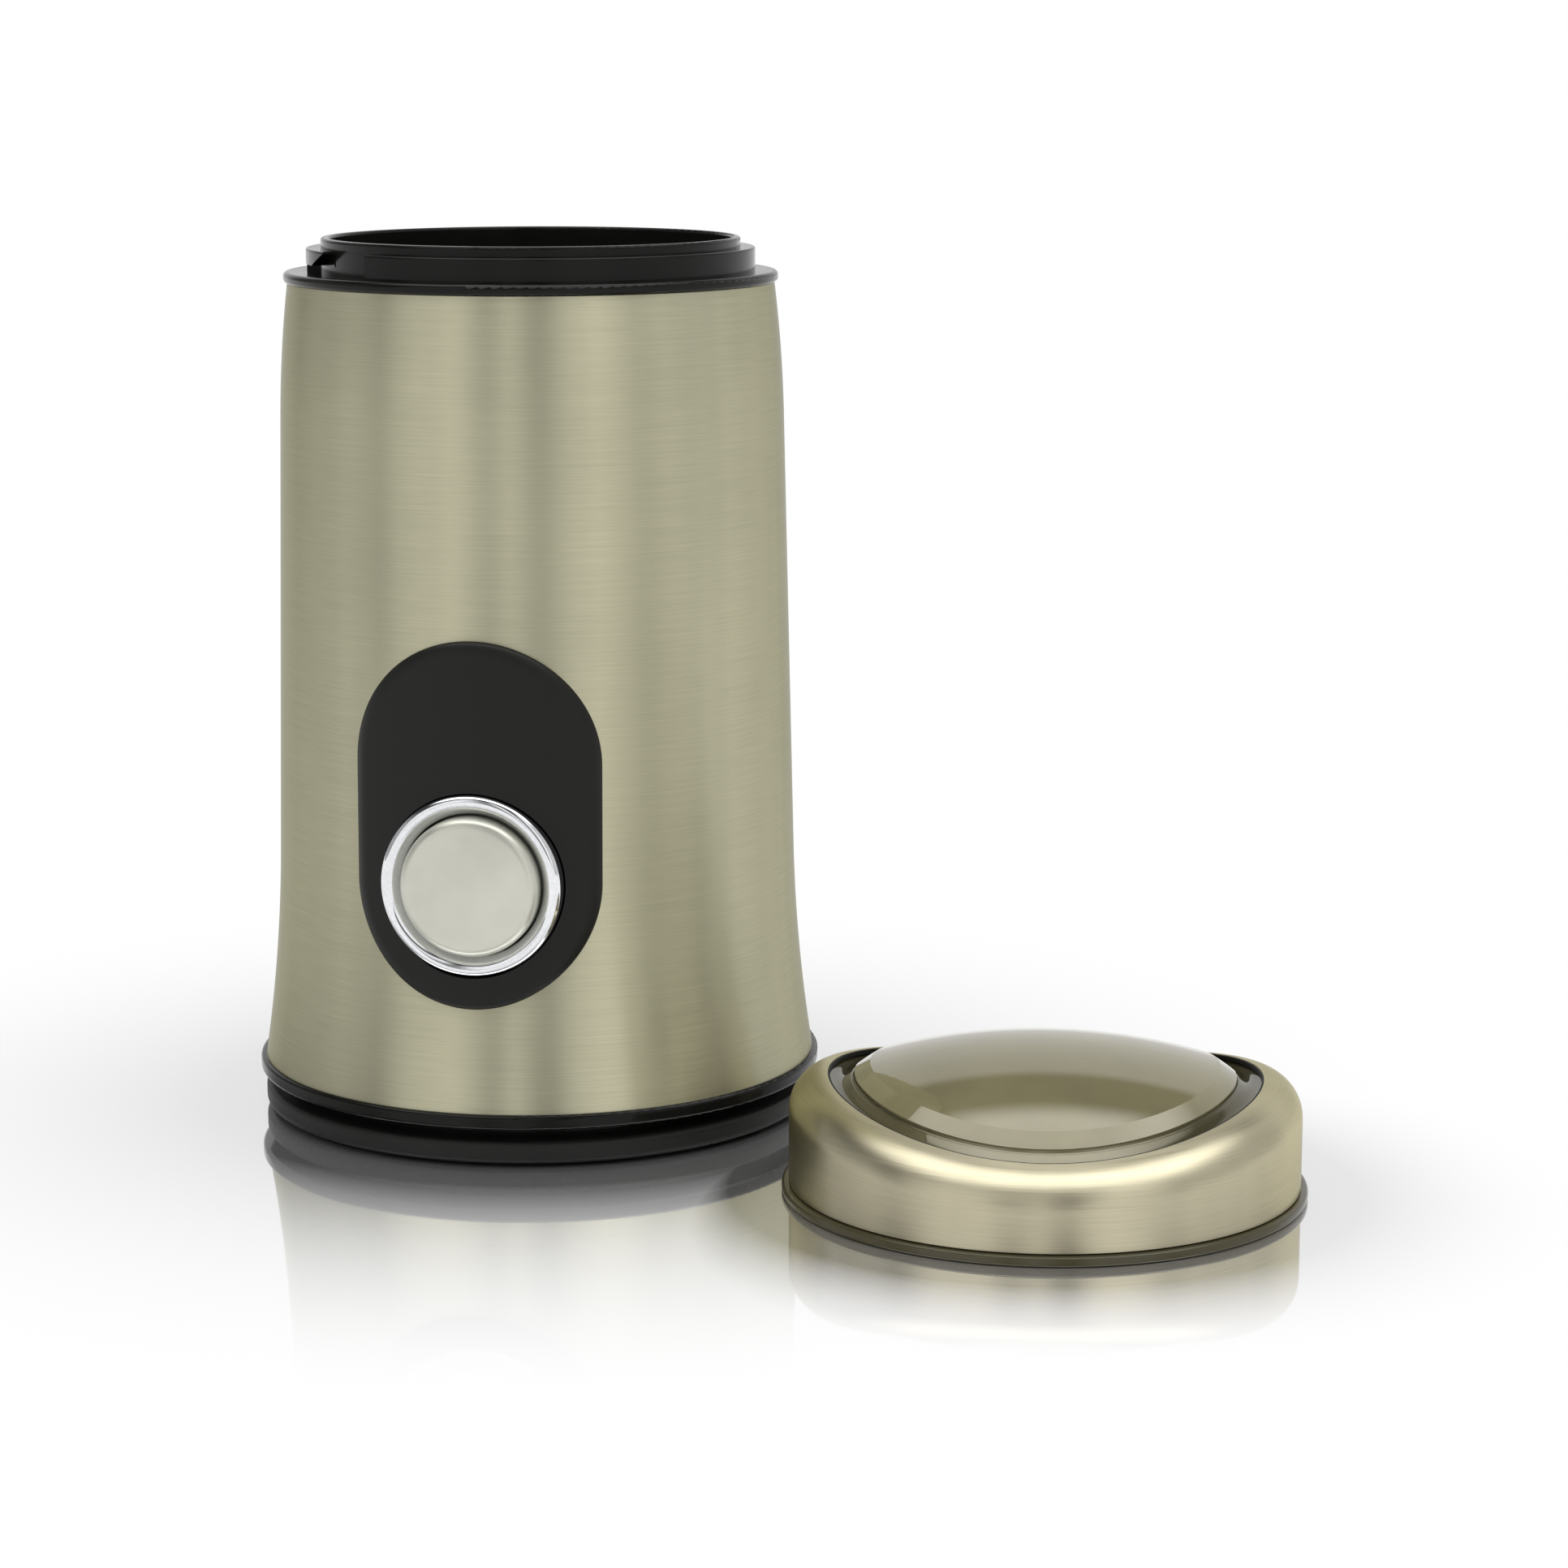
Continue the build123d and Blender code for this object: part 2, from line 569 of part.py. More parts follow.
def foot_plate():
    """Bottom cover with a channel for the rubber pad, vents and screw holes."""
    web_low = PLATE_TOP - PLATE_WEB
    body = turned(
        (0, web_low),
        (PAD_BORE - PAD_RIB, web_low),
        (PAD_BORE - PAD_RIB, PLATE_LOW),
        (PAD_BORE, PLATE_LOW),
        (PAD_BORE, PAD_TOP),
        (PAD_R, PAD_TOP),
        (PAD_R, PLATE_LOW),
        (PLATE_R, PLATE_LOW, PLATE_LOW_ROUND),
        (PLATE_R, PLATE_TOP, PLATE_TOP_ROUND),
        (0, PLATE_TOP),
    )
    slot = extrude(SlotOverall(VENT_LENGTH, VENT_WIDTH), PLATE_WEB + 2 * OVERCUT)
    for i in range(VENT_COUNT):
        body -= Rot(0, 0, 360.0 * i / VENT_COUNT) * Pos(VENT_CIRCLE_R, 0, web_low - OVERCUT) * slot
    for x, y in around(SCREW_COUNT, FOOT_SCREW_CIRCLE_R, FOOT_SCREW_ANGLE):
        body -= disc(SCREW_R + SCREW_HOLE_GAP, web_low - OVERCUT, PLATE_TOP + OVERCUT, x, y)
    return body - gland_hole()


def foot_pad():
    """Rubber ring that the body stands on."""
    outer = PAD_R - SEAT_GAP
    inner = PAD_BORE + SEAT_GAP
    return turned((inner, 0, PAD_ROUND), (outer, 0, PAD_ROUND), (outer, PAD_TOP), (inner, PAD_TOP))


def foot_screws():
    head_low = PLATE_TOP - PLATE_WEB - SCREW_HEAD_HEIGHT
    places = around(SCREW_COUNT, FOOT_SCREW_CIRCLE_R, FOOT_SCREW_ANGLE)
    return joined(
        screw(SCREW_R, SCREW_HEAD_R, SCREW_HEAD_HEIGHT, head_low, FLOOR_TOP - SEAT_GAP, x, y)
        for x, y in places
    )


def cord_gland():
    """Bush that lines the cord's way in at the back of the base."""
    flange_y = LIP_R + PUSH_GAP
    body = rod_y(GLAND_R, LIP_R - GLAND_LENGTH, flange_y, 0, GLAND_Z)
    body += rod_y(GLAND_R + GLAND_FLANGE, flange_y, flange_y + GLAND_FLANGE_LENGTH, 0, GLAND_Z)
    bore = rod_y(GLAND_BORE, LIP_R - GLAND_LENGTH - OVERCUT, flange_y + GLAND_FLANGE_LENGTH + OVERCUT,
                 0, GLAND_Z)
    return body - bore


# Housing, collar and bowl
def rod_hole(z_low, z_high):
    x, y = around(1, INTERLOCK_CIRCLE_R, INTERLOCK_ANGLE)[0]
    return disc(ROD_R + MOVE_GAP, z_low - OVERCUT, z_high + OVERCUT, x, y)


def inner_housing():
    """Moulded tube with the motor's deck, the bowl's seat and screw bosses."""
    seat_low = HOUSING_TOP - BOWL_SEAT_HEIGHT
    body = ring(HOUSING_R, HOUSING_BORE, FLOOR_TOP, HOUSING_TOP)
    seat = ring(HOUSING_R - HOUSING_WALL / 2, BOWL_OUT + SEAT_GAP, seat_low, HOUSING_TOP)
    rebate = disc(BOWL_LIP_R + SEAT_GAP, BOWL_LIP_TOP - BOWL_WALL, HOUSING_TOP + OVERCUT)
    body += seat - rebate
    body += ring(HOUSING_R - HOUSING_WALL / 2, CUP_R + SEAT_GAP, DECK_LOW, DECK_TOP)
    for side in (-1, 1):
        body -= disc(MOTOR_SCREW_R + FIXED_GAP, DECK_LOW - OVERCUT, DECK_TOP + OVERCUT, 0, side * POST_Y)
    for x, y in around(SCREW_COUNT, HOUSING_SCREW_CIRCLE_R, HOUSING_SCREW_ANGLE):
        body += disc(HOUSING_BOSS_R, FLOOR_TOP, FLOOR_TOP + HOUSING_BOSS_HEIGHT, x, y)
        body -= disc(SCREW_R + FIXED_GAP, FLOOR_TOP - OVERCUT, FLOOR_TOP + HOUSING_SCREW_GRIP, x, y)
    half_width = CARRIER_WIDTH / 2 + SEAT_GAP
    half_height = CARRIER_HEIGHT / 2 + SEAT_GAP
    body -= block(-half_width, half_width, -HOUSING_R - OVERCUT, -HOUSING_BORE / 2,
                  BUTTON_Z - half_height, BUTTON_Z + half_height)
    body -= rod_hole(DECK_LOW, HOUSING_TOP)
    x, y = around(1, INTERLOCK_CIRCLE_R, INTERLOCK_ANGLE)[0]
    body -= disc(ROD_COLLAR_R + MOVE_GAP, DECK_TOP, seat_low, x, y)
    return body - disc(ROD_COLLAR_R + MOVE_GAP, interlock_top(), DECK_LOW, x, y)


def housing_screws():
    head_low = SLEEVE_LOW - SCREW_HEAD_HEIGHT
    tip = FLOOR_TOP + HOUSING_SCREW_GRIP - SEAT_GAP
    places = around(SCREW_COUNT, HOUSING_SCREW_CIRCLE_R, HOUSING_SCREW_ANGLE)
    return joined(screw(SCREW_R, SCREW_HEAD_R, SCREW_HEAD_HEIGHT, head_low, tip, x, y) for x, y in places)


def bayonet_cut():
    """Way in for one lid tab: an open recess, then a slot under the lug with a ramped mouth."""
    floor_r = RIM_R + RECESS_FLOOR
    outside = FLANGE_R
    cut = sector(outside, floor_r, FLANGE_TOP, TIER_TOP + OVERCUT, LUG_END, RECESS_END)
    cut += sector(outside, floor_r, FLANGE_TOP, FLANGE_TOP + SLOT_HEIGHT, SLOT_END, LUG_END)
    lead = 2 * TIER_R * sin(radians(LEAD_ANGLE / 2))
    ramp = profile((0, SLOT_HEIGHT), (lead, SLOT_HEIGHT), (lead, SLOT_HEIGHT + LEAD_RISE))
    across = Plane((floor_r, -lead / 2, FLANGE_TOP), (0, 1, 0), (1, 0, 0))
    wedge = extrude(across * ramp, outside - floor_r)
    return cut + Rot(0, 0, LUG_END - LEAD_ANGLE / 2) * wedge


def top_collar():
    """Moulded collar: spigot, flange, bayonet tier and rim."""
    body = turned(
        (RIM_BORE, HOUSING_TOP),
        (HOUSING_R, HOUSING_TOP),
        (HOUSING_R, SLEEVE_TOP),
        (FLANGE_R, SLEEVE_TOP, FLANGE_ROUND),
        (FLANGE_R, FLANGE_TOP, FLANGE_ROUND),
        (TIER_R, FLANGE_TOP),
        (TIER_R, TIER_TOP, TIER_ROUND),
        (RIM_R, TIER_TOP),
        (RIM_R, RIM_TOP, RIM_ROUND),
        (RIM_BORE, RIM_TOP, RIM_ROUND),
    )
    for i in range(BAYONET_COUNT):
        body -= Rot(0, 0, 360.0 * i / BAYONET_COUNT) * bayonet_cut()
    return body - rod_hole(HOUSING_TOP, FLANGE_TOP)


def grinding_bowl():
    """Drawn cup with a flat lip and a rounded floor."""
    hole = SEAL_R + FIXED_GAP
    lip_low = BOWL_LIP_TOP - BOWL_WALL
    return turned(
        (hole, BOWL_UNDER),
        (BOWL_OUT, BOWL_UNDER, BOWL_CORNER + BOWL_WALL),
        (BOWL_OUT, lip_low),
        (BOWL_LIP_R, lip_low),
        (BOWL_LIP_R, BOWL_LIP_TOP),
        (BOWL_R, BOWL_LIP_TOP, BOWL_LIP_ROUND),
        (BOWL_R, BOWL_FLOOR, BOWL_CORNER),
        (hole, BOWL_FLOOR),
    )


def bowl_gasket():
    return ring(BOWL_LIP_R, BOWL_R + GASKET_INSET, BOWL_LIP_TOP, HOUSING_TOP)


def shaft_seal():
    """Soft bush in the bowl's floor with a thin lip round the shaft."""
    bore = SHAFT_R + RUN_GAP
    flange_r = SEAL_R + SEAL_FLANGE
    flange_top = BOWL_FLOOR + SEAL_FLANGE_HEIGHT
    return turned(
        (bore, BOWL_UNDER - SEAL_BELOW),
        (SEAL_R, BOWL_UNDER - SEAL_BELOW),
        (SEAL_R, BOWL_FLOOR),
        (flange_r, BOWL_FLOOR),
        (flange_r, flange_top),
        (SEAL_LIP_R, flange_top),
        (SEAL_LIP_R, SEAL_TOP),
        (bore, SEAL_TOP),
    )


# Rotor
def shaft_bore(z_low, z_high):
    return disc(SHAFT_R + FIXED_GAP, z_low - OVERCUT, z_high + OVERCUT)


def motor_shaft():
    return disc(SHAFT_R, SHAFT_LOW, SHAFT_TOP)


def blade_hub():
    """Hub that holds the blade above the seal."""
    bore = SHAFT_R + FIXED_GAP
    return turned((bore, HUB_LOW), (HUB_R, HUB_LOW, HUB_ROUND), (HUB_R, HUB_TOP), (bore, HUB_TOP))


def ground_edge(rise):
    """Cutter for the sloped leading edge of the wing along +X, whose tip stands rise above its root."""
    heel = Vector(BLADE_FLAT, BLADE_ROOT_WIDTH / 2, HUB_TOP)
    along = Vector(BLADE_REACH, BLADE_TIP_WIDTH / 2, HUB_TOP + rise) - heel
    slope = Vector(0, -BLADE_BEVEL, BLADE_THICK)
    over = Box(BLADE_REACH, BLADE_ROOT_WIDTH, BLADE_ROOT_WIDTH, align=(Align.MIN, Align.CENTER, Align.MIN))
    return Plane(heel, along, slope.cross(along)) * over


def blade():
    """Two-winged cutter: one wing rises, the other falls."""
    wing_length = BLADE_REACH - BLADE_FLAT
    rise = wing_length * tan(radians(WING_RISE))
    fall = wing_length * tan(radians(WING_FALL))
    root = BLADE_ROOT_WIDTH / 2
    tip = BLADE_TIP_WIDTH / 2
    side_view = profile(
        (-BLADE_REACH, HUB_TOP - fall),
        (-BLADE_FLAT, HUB_TOP),
        (BLADE_FLAT, HUB_TOP),
        (BLADE_REACH, HUB_TOP + rise),
        (BLADE_REACH, BLADE_TOP + rise),
        (BLADE_FLAT, BLADE_TOP),
        (-BLADE_FLAT, BLADE_TOP),
        (-BLADE_REACH, BLADE_TOP - fall),
    )
    plan = profile(
        (-BLADE_REACH, -tip, BLADE_TIP_ROUND),
        (-BLADE_FLAT, -root),
        (BLADE_FLAT, -root),
        (BLADE_REACH, -tip, BLADE_TIP_ROUND),
        (BLADE_REACH, tip, BLADE_TIP_ROUND),
        (BLADE_FLAT, root),
        (-BLADE_FLAT, root),
        (-BLADE_REACH, tip, BLADE_TIP_ROUND),
    )
    body = extrude(Plane.XZ * side_view, root, both=True)
    body &= extrude(plan, BLADE_TOP + BLADE_REACH)
    body -= ground_edge(rise)
    body -= Rot(0, 0, 180) * ground_edge(-fall)
    return body - shaft_bore(HUB_TOP, BLADE_TOP)


def blade_nut():
    """Domed cap nut over the shaft's end."""
    corner_r = NUT_ACROSS / 2 / cos(radians(180.0 / NUT_SIDES))
    body = Pos(0, 0, BLADE_TOP) * extrude(RegularPolygon(corner_r, NUT_SIDES), NUT_HEIGHT)
    dome_base = NUT_ACROSS / 2
    dome_r = (dome_base**2 + NUT_DOME**2) / (2 * NUT_DOME)
    dome_low = BLADE_TOP + NUT_HEIGHT
    dome = Pos(0, 0, dome_low + NUT_DOME - dome_r) * Sphere(dome_r)
    body += dome & disc(dome_base, dome_low, dome_low + NUT_DOME)
    return body - disc(SHAFT_R + FIXED_GAP, BLADE_TOP - OVERCUT, SHAFT_TOP + SEAT_GAP)


def armature_core():
    section = Circle(ARMATURE_R)
    slot = Rectangle(2 * ARMATURE_SLOT_DEPTH, ARMATURE_SLOT_WIDTH)
    for i in range(ARMATURE_SLOTS):
        section -= Rot(0, 0, 360.0 * i / ARMATURE_SLOTS) * Pos(ARMATURE_R, 0) * slot
    return Pos(0, 0, STACK_LOW) * extrude(section, STACK_HEIGHT) - shaft_bore(STACK_LOW, STACK_TOP)


def armature_winding():
    """End turns above and below the core."""
    rings = []
    for low in (LOWER_WINDING_LOW, UPPER_WINDING_LOW):
        top = low + WINDING_HEIGHT
        rings.append(turned(
            (SHAFT_R + FIXED_GAP, low),
            (WINDING_R, low, WINDING_ROUND),
            (WINDING_R, top, WINDING_ROUND),
            (SHAFT_R + FIXED_GAP, top),
        ))
    return joined(rings)


def commutator():
    section = Circle(COMMUTATOR_R)
    slot = Rectangle(2 * COMMUTATOR_SLOT_DEPTH, COMMUTATOR_SLOT)
    for i in range(ARMATURE_SLOTS):
        section -= Rot(0, 0, 360.0 * i / ARMATURE_SLOTS) * Pos(COMMUTATOR_R, 0) * slot
    body = Pos(0, 0, COMMUTATOR_LOW) * extrude(section, COMMUTATOR_HEIGHT)
    return body - shaft_bore(COMMUTATOR_LOW, COMMUTATOR_TOP)


def cooling_fan():
    """Radial fan on the lower end of the shaft."""
    body = disc(FAN_HUB_R, FAN_LOW, FAN_TOP) + disc(FAN_R, FAN_LOW, FAN_LOW + FAN_DISC)
    vane = block(FAN_HUB_R - OVERCUT, FAN_R, -FAN_BLADE_THICK / 2, FAN_BLADE_THICK / 2, FAN_LOW, FAN_TOP)
    for i in range(FAN_BLADES):
        body += Rot(0, 0, 360.0 * i / FAN_BLADES) * vane
    return body - shaft_bore(FAN_LOW, FAN_TOP)


# Fixed parts of the motor
def stator_core():
    """Stacked yoke with two poles and their shoes."""
    section = RectangleRounded(STATOR_LENGTH, STATOR_WIDTH, STATOR_CORNER)
    section -= Rectangle(2 * YOKE_X, 2 * YOKE_Y)
    section += Rectangle(STATOR_LENGTH - YOKE_WALL, POLE_WIDTH)
    shoes = Circle(SHOE_R) - Rectangle(SHOE_OPENING, 2 * SHOE_R)
    section += shoes
    section -= Circle(STATOR_BORE)
    for side in (-1, 1):
        section -= Pos(0, side * POST_Y) * Circle(MOTOR_SCREW_R + SCREW_HOLE_GAP)
    return Pos(0, 0, STACK_LOW) * extrude(section, STACK_HEIGHT)


def field_coils():
    """A wound ring round each pole, between its shoe and the yoke."""
    inner_width = POLE_WIDTH + 2 * SEAT_GAP
    inner_height = STACK_HEIGHT + 2 * SEAT_GAP
    section = RectangleRounded(inner_width + 2 * COIL_BUILD, inner_height + 2 * COIL_BUILD, COIL_CORNER)
    section -= Rectangle(inner_width, inner_height)
    thick = YOKE_X - SHOE_R - 2 * SEAT_GAP
    middle = (STACK_LOW + STACK_TOP) / 2
    coils = []
    for start in (SHOE_R + SEAT_GAP, -YOKE_X + SEAT_GAP):
        coils.append(extrude(Plane((start, 0, middle), (0, 1, 0), (1, 0, 0)) * section, thick))
    return joined(coils)


def bearing(z_low):
    return ring(BEARING_R, SHAFT_R + RUN_GAP, z_low, z_low + BEARING_HEIGHT)


def screw_way(z_low, z_high, side):
    return disc(MOTOR_SCREW_R + SCREW_HOLE_GAP, z_low - OVERCUT, z_high + OVERCUT, 0, side * POST_Y)


def cup_bore(z_open_low, z_open_high, z_floor_low, z_floor_high):
    """Bearing pocket and the smaller way for the shaft through the cup's floor."""
    pocket = disc(BEARING_R + FIXED_GAP, z_open_low, z_open_high)
    return pocket + disc(SHAFT_R + MOVE_GAP, z_floor_low - OVERCUT, z_floor_high + OVERCUT)


def upper_bracket():
    """Bar across the stator with the upper bearing's cup and two posts."""
    cup_top = UPPER_BRACKET_LOW + BEARING_HEIGHT
    half_length = POST_Y + MOUNT_R
    body = block(-BRACKET_WIDTH / 2, BRACKET_WIDTH / 2, -half_length, half_length,
                 UPPER_BRACKET_LOW, UPPER_BRACKET_TOP)
    body += disc(CUP_R, UPPER_CUP_LOW, cup_top)
    for side in (-1, 1):
        body += disc(POST_R, STACK_TOP, UPPER_BRACKET_TOP, 0, side * POST_Y)
        body -= screw_way(STACK_TOP, UPPER_BRACKET_TOP, side)
    return body - cup_bore(UPPER_BRACKET_LOW, cup_top + OVERCUT, UPPER_CUP_LOW, UPPER_BRACKET_LOW)


def lower_bracket():
    """Round bracket with the lower bearing's cup, two posts and cooling windows."""
    floor_top = LOWER_CUP_LOW + CUP_FLOOR
    body = disc(LOWER_BRACKET_R, LOWER_BRACKET_LOW, LOWER_BRACKET_TOP)
    window_turn = 180.0 / LOWER_BRACKET_WINDOWS
    for x, y in around(LOWER_BRACKET_WINDOWS, (LOWER_BRACKET_R + CUP_R) / 2, window_turn):
        body -= disc(LOWER_BRACKET_WINDOW, LOWER_BRACKET_LOW - OVERCUT, LOWER_BRACKET_TOP + OVERCUT, x, y)
    body += disc(CUP_R, LOWER_CUP_LOW, LOWER_CUP_TOP)
    for side in (-1, 1):
        body += disc(POST_R, LOWER_BRACKET_LOW, STACK_LOW, 0, side * POST_Y)
        body -= screw_way(LOWER_BRACKET_LOW, STACK_LOW, side)
    return body - cup_bore(floor_top, LOWER_CUP_TOP + OVERCUT, LOWER_CUP_LOW, floor_top)


def motor_screws():
    """Two long screws through the brackets and the stator into the deck."""
    head_low = LOWER_BRACKET_LOW - MOTOR_SCREW_HEAD_HEIGHT
    return joined(
        screw(MOTOR_SCREW_R, MOTOR_SCREW_HEAD_R, MOTOR_SCREW_HEAD_HEIGHT, head_low, DECK_TOP,
              0, side * POST_Y)
        for side in (-1, 1)
    )


def motor_mounts():
    """Rubber washers between the motor and the deck."""
    bore = MOTOR_SCREW_R + SCREW_HOLE_GAP
    return joined(ring(MOUNT_R, bore, UPPER_BRACKET_TOP, DECK_LOW, 0, side * POST_Y) for side in (-1, 1))


def brush_end():
    return COMMUTATOR_R + BRUSH_GAP + BRUSH_LENGTH


def holder_span():
    start = COMMUTATOR_R + HOLDER_START
    return start, start + HOLDER_LENGTH


def brush_holders():
    """Boxes on the lower bracket that guide the brushes."""
    start, end = holder_span()
    half_width = BRUSH_WIDTH / 2 + SEAT_GAP
    half_height = BRUSH_HEIGHT / 2 + SEAT_GAP
    box = block(start, end, -half_width - HOLDER_WALL, half_width + HOLDER_WALL,
                LOWER_BRACKET_TOP, BRUSH_Z + half_height + HOLDER_WALL)
    box -= block(start - OVERCUT, end - HOLDER_WALL, -half_width, half_width,
                 BRUSH_Z - half_height, BRUSH_Z + half_height)
    return joined(Rot(0, 0, turn) * box for turn in (0, 180))


def carbon_brushes():
    """Brushes with ends hollowed to the commutator."""
    brush = block(COMMUTATOR_R / 2, brush_end(), -BRUSH_WIDTH / 2, BRUSH_WIDTH / 2,
                  BRUSH_Z - BRUSH_HEIGHT / 2, BRUSH_Z + BRUSH_HEIGHT / 2)
    brush -= disc(COMMUTATOR_R + BRUSH_GAP, COMMUTATOR_LOW - OVERCUT, COMMUTATOR_TOP + OVERCUT)
    return joined(Rot(0, 0, turn) * brush for turn in (0, 180))


def brush_springs():
    """Springs that press the brushes inwards."""
    length = holder_span()[1] - HOLDER_WALL - brush_end()
    mean_r = BRUSH_WIDTH / 2 - BRUSH_SPRING_WIRE
    coil = Pos(brush_end(), 0, BRUSH_Z) * Rot(0, 90, 0) * spring(
        mean_r, BRUSH_SPRING_WIRE, length, BRUSH_SPRING_TURNS)
    return joined(Rot(0, 0, turn) * coil for turn in (0, 180))


# Control panel, button and switch
def control_panel():
    """Stadium-shaped panel that follows the sleeve, with a lip behind it and the button's well."""
    reach = -SLEEVE_FOOT_R - PANEL_PROUD
    body = panel_prism(0, reach, 0) & sleeve_form(PANEL_PROUD)
    fronts = [f for f in body.faces() if f.normal_at().Y < 0 and f.center().Y < -HOUSING_R]
    edges = [e for f in fronts for e in f.edges()]
    border = [e for e in edges if sum(e.is_same(other) for other in edges) == 1]
    body = fillet(border, PANEL_ROUND)
    lip = panel_prism(PANEL_LIP, reach, 0) & disc(PANEL_BACK_R + PANEL_LIP_THICK, 0, SLEEVE_TOP)
    body += lip
    body -= disc(PANEL_BACK_R, 0, SLEEVE_TOP)
    body -= rod_y(BEZEL_R + SEAT_GAP, reach, BEZEL_BACK, 0, BUTTON_Z)
    return body - rod_y(BEZEL_BORE + MOVE_GAP, reach, 0, 0, BUTTON_Z)


def button_axis(shape):
    """Stands a shape turned about Z on the button's axis, with its top facing out of the panel."""
    return Pos(0, 0, BUTTON_Z) * Rot(90, 0, 0) * shape


def button_bezel():
    """Ring with a rounded outer edge and a coned mouth."""
    front = -BEZEL_FRONT
    back = -BEZEL_BACK
    return button_axis(turned(
        (BEZEL_BORE, back),
        (BEZEL_R, back),
        (BEZEL_R, front, BEZEL_ROUND),
        (BEZEL_MOUTH, front),
        (BEZEL_BORE, front - BEZEL_CONE_DEPTH),
    ))


def button_cap():
    """Hollow cap with a stem that reaches the switch."""
    front = -CAP_FRONT
    back = -CAP_BACK
    inside = -CAP_INSIDE
    return button_axis(turned(
        (0, -STEM_END),
        (STEM_R, -STEM_END),
        (STEM_R, inside),
        (CAP_R - CAP_WALL, inside),
        (CAP_R - CAP_WALL, back),
        (CAP_R, back),
        (CAP_R, front, CAP_ROUND),
        (0, front),
    ))


def button_clip():
    """Clip on the stem that keeps the button in its carrier."""
    body = rod_y(CLIP_R, CLIP_FRONT, CLIP_FRONT + CLIP_THICK, 0, BUTTON_Z)
    return body - rod_y(STEM_R + FIXED_GAP, CLIP_FRONT - OVERCUT, STEM_END, 0, BUTTON_Z)


def button_spring():
    length = CARRIER_FRONT - CAP_INSIDE
    coil = spring(BUTTON_SPRING_R, BUTTON_SPRING_WIRE, length, BUTTON_SPRING_TURNS)
    return Pos(0, CARRIER_FRONT, BUTTON_Z) * Rot(90, 0, 0) * coil


def switch_carrier():
    """Plate in the housing's window that guides the stem, with two arms that hold the switch."""
    half = CARRIER_WIDTH / 2
    body = block(-half, half, CARRIER_FRONT, CARRIER_BACK,
                 BUTTON_Z - CARRIER_HEIGHT / 2, BUTTON_Z + CARRIER_HEIGHT / 2)
    for side in (-1, 1):
        near = side * SWITCH_WIDTH / 2
        far = side * (SWITCH_WIDTH / 2 + CARRIER_ARM)
        body += block(min(near, far), max(near, far), CARRIER_FRONT, SWITCH_BACK,
                      BUTTON_Z - SWITCH_HEIGHT / 2, BUTTON_Z + SWITCH_HEIGHT / 2)
    return body - rod_y(STEM_R + MOVE_GAP, CARRIER_FRONT - OVERCUT, CARRIER_BACK + OVERCUT, 0, BUTTON_Z)


def power_switch():
    """Push switch with its plunger's bore and two terminals."""
    half = SWITCH_WIDTH / 2
    low = BUTTON_Z - SWITCH_HEIGHT / 2
    body = block(-half, half, SWITCH_FRONT, SWITCH_BACK, low, low + SWITCH_HEIGHT)
    middle = (SWITCH_FRONT + SWITCH_BACK) / 2
    for x in (-half / 2, half / 2):
        body += block(x - TAB_WIDTH / 2, x + TAB_WIDTH / 2, middle - TAB_THICK / 2, middle + TAB_THICK / 2,
                      low - TAB_LENGTH, low + OVERCUT)
    depth = SWITCH_FRONT + SWITCH_PLUNGER_TAIL + BUTTON_TRAVEL + MOVE_GAP
    return body - rod_y(SWITCH_PLUNGER_R + RUN_GAP, SWITCH_FRONT - OVERCUT, depth, 0, BUTTON_Z)


def switch_plunger():
    return rod_y(SWITCH_PLUNGER_R, PLUNGER_FRONT, SWITCH_FRONT + SWITCH_PLUNGER_TAIL, 0, BUTTON_Z)


# Lid interlock
def rod_low():
    return DECK_LOW - ROD_BELOW_DECK


def interlock_top():
    return rod_low() - PUSH_GAP - INTERLOCK_PLUNGER_PROUD


def interlock_place(shape):
    """Turns a shape modelled on +X to the interlock's angle."""
    return Rot(0, 0, INTERLOCK_ANGLE) * shape


def interlock_pin():
    """Push rod with a domed top, a collar for its spring and a foot over the plunger."""
    top = FLANGE_TOP + INTERLOCK_TRAVEL
    collar_low = DECK_TOP + ROD_SPRING_LENGTH
    foot_outer = INTERLOCK_CIRCLE_R + ROD_R
    body = disc(ROD_R, rod_low(), top - ROD_R, INTERLOCK_CIRCLE_R)
    body += block(foot_outer - ROD_FOOT_LENGTH, foot_outer - ROD_R, -ROD_FOOT_WIDTH / 2, ROD_FOOT_WIDTH / 2,
                  rod_low(), rod_low() + ROD_FOOT_HEIGHT)
    body += Pos(INTERLOCK_CIRCLE_R, 0, top - ROD_R) * Sphere(ROD_R)
    body += disc(ROD_COLLAR_R, collar_low, collar_low + ROD_COLLAR_HEIGHT, INTERLOCK_CIRCLE_R)
    return interlock_place(body)


def interlock_spring():
    coil = spring(ROD_SPRING_R, ROD_SPRING_WIRE, ROD_SPRING_LENGTH, ROD_SPRING_TURNS)
    return interlock_place(Pos(INTERLOCK_CIRCLE_R, 0, DECK_TOP) * coil)


def interlock_outer():
    return sqrt(HOUSING_BORE**2 - (INTERLOCK_WIDTH / 2) ** 2) - SEAT_GAP


def plunger_x():
    return interlock_outer() - INTERLOCK_DEPTH / 2


def interlock_switch():
    """Small switch under the push rod, held against the housing's wall."""
    outer = interlock_outer()
    top = interlock_top()
    body = block(outer - INTERLOCK_DEPTH, outer, -INTERLOCK_WIDTH / 2, INTERLOCK_WIDTH / 2,
                 top - INTERLOCK_HEIGHT, top)
    depth = top - INTERLOCK_PLUNGER_TAIL - INTERLOCK_TRAVEL - MOVE_GAP
    body -= disc(INTERLOCK_PLUNGER_R + RUN_GAP, depth, top + OVERCUT, plunger_x())
    return interlock_place(body)


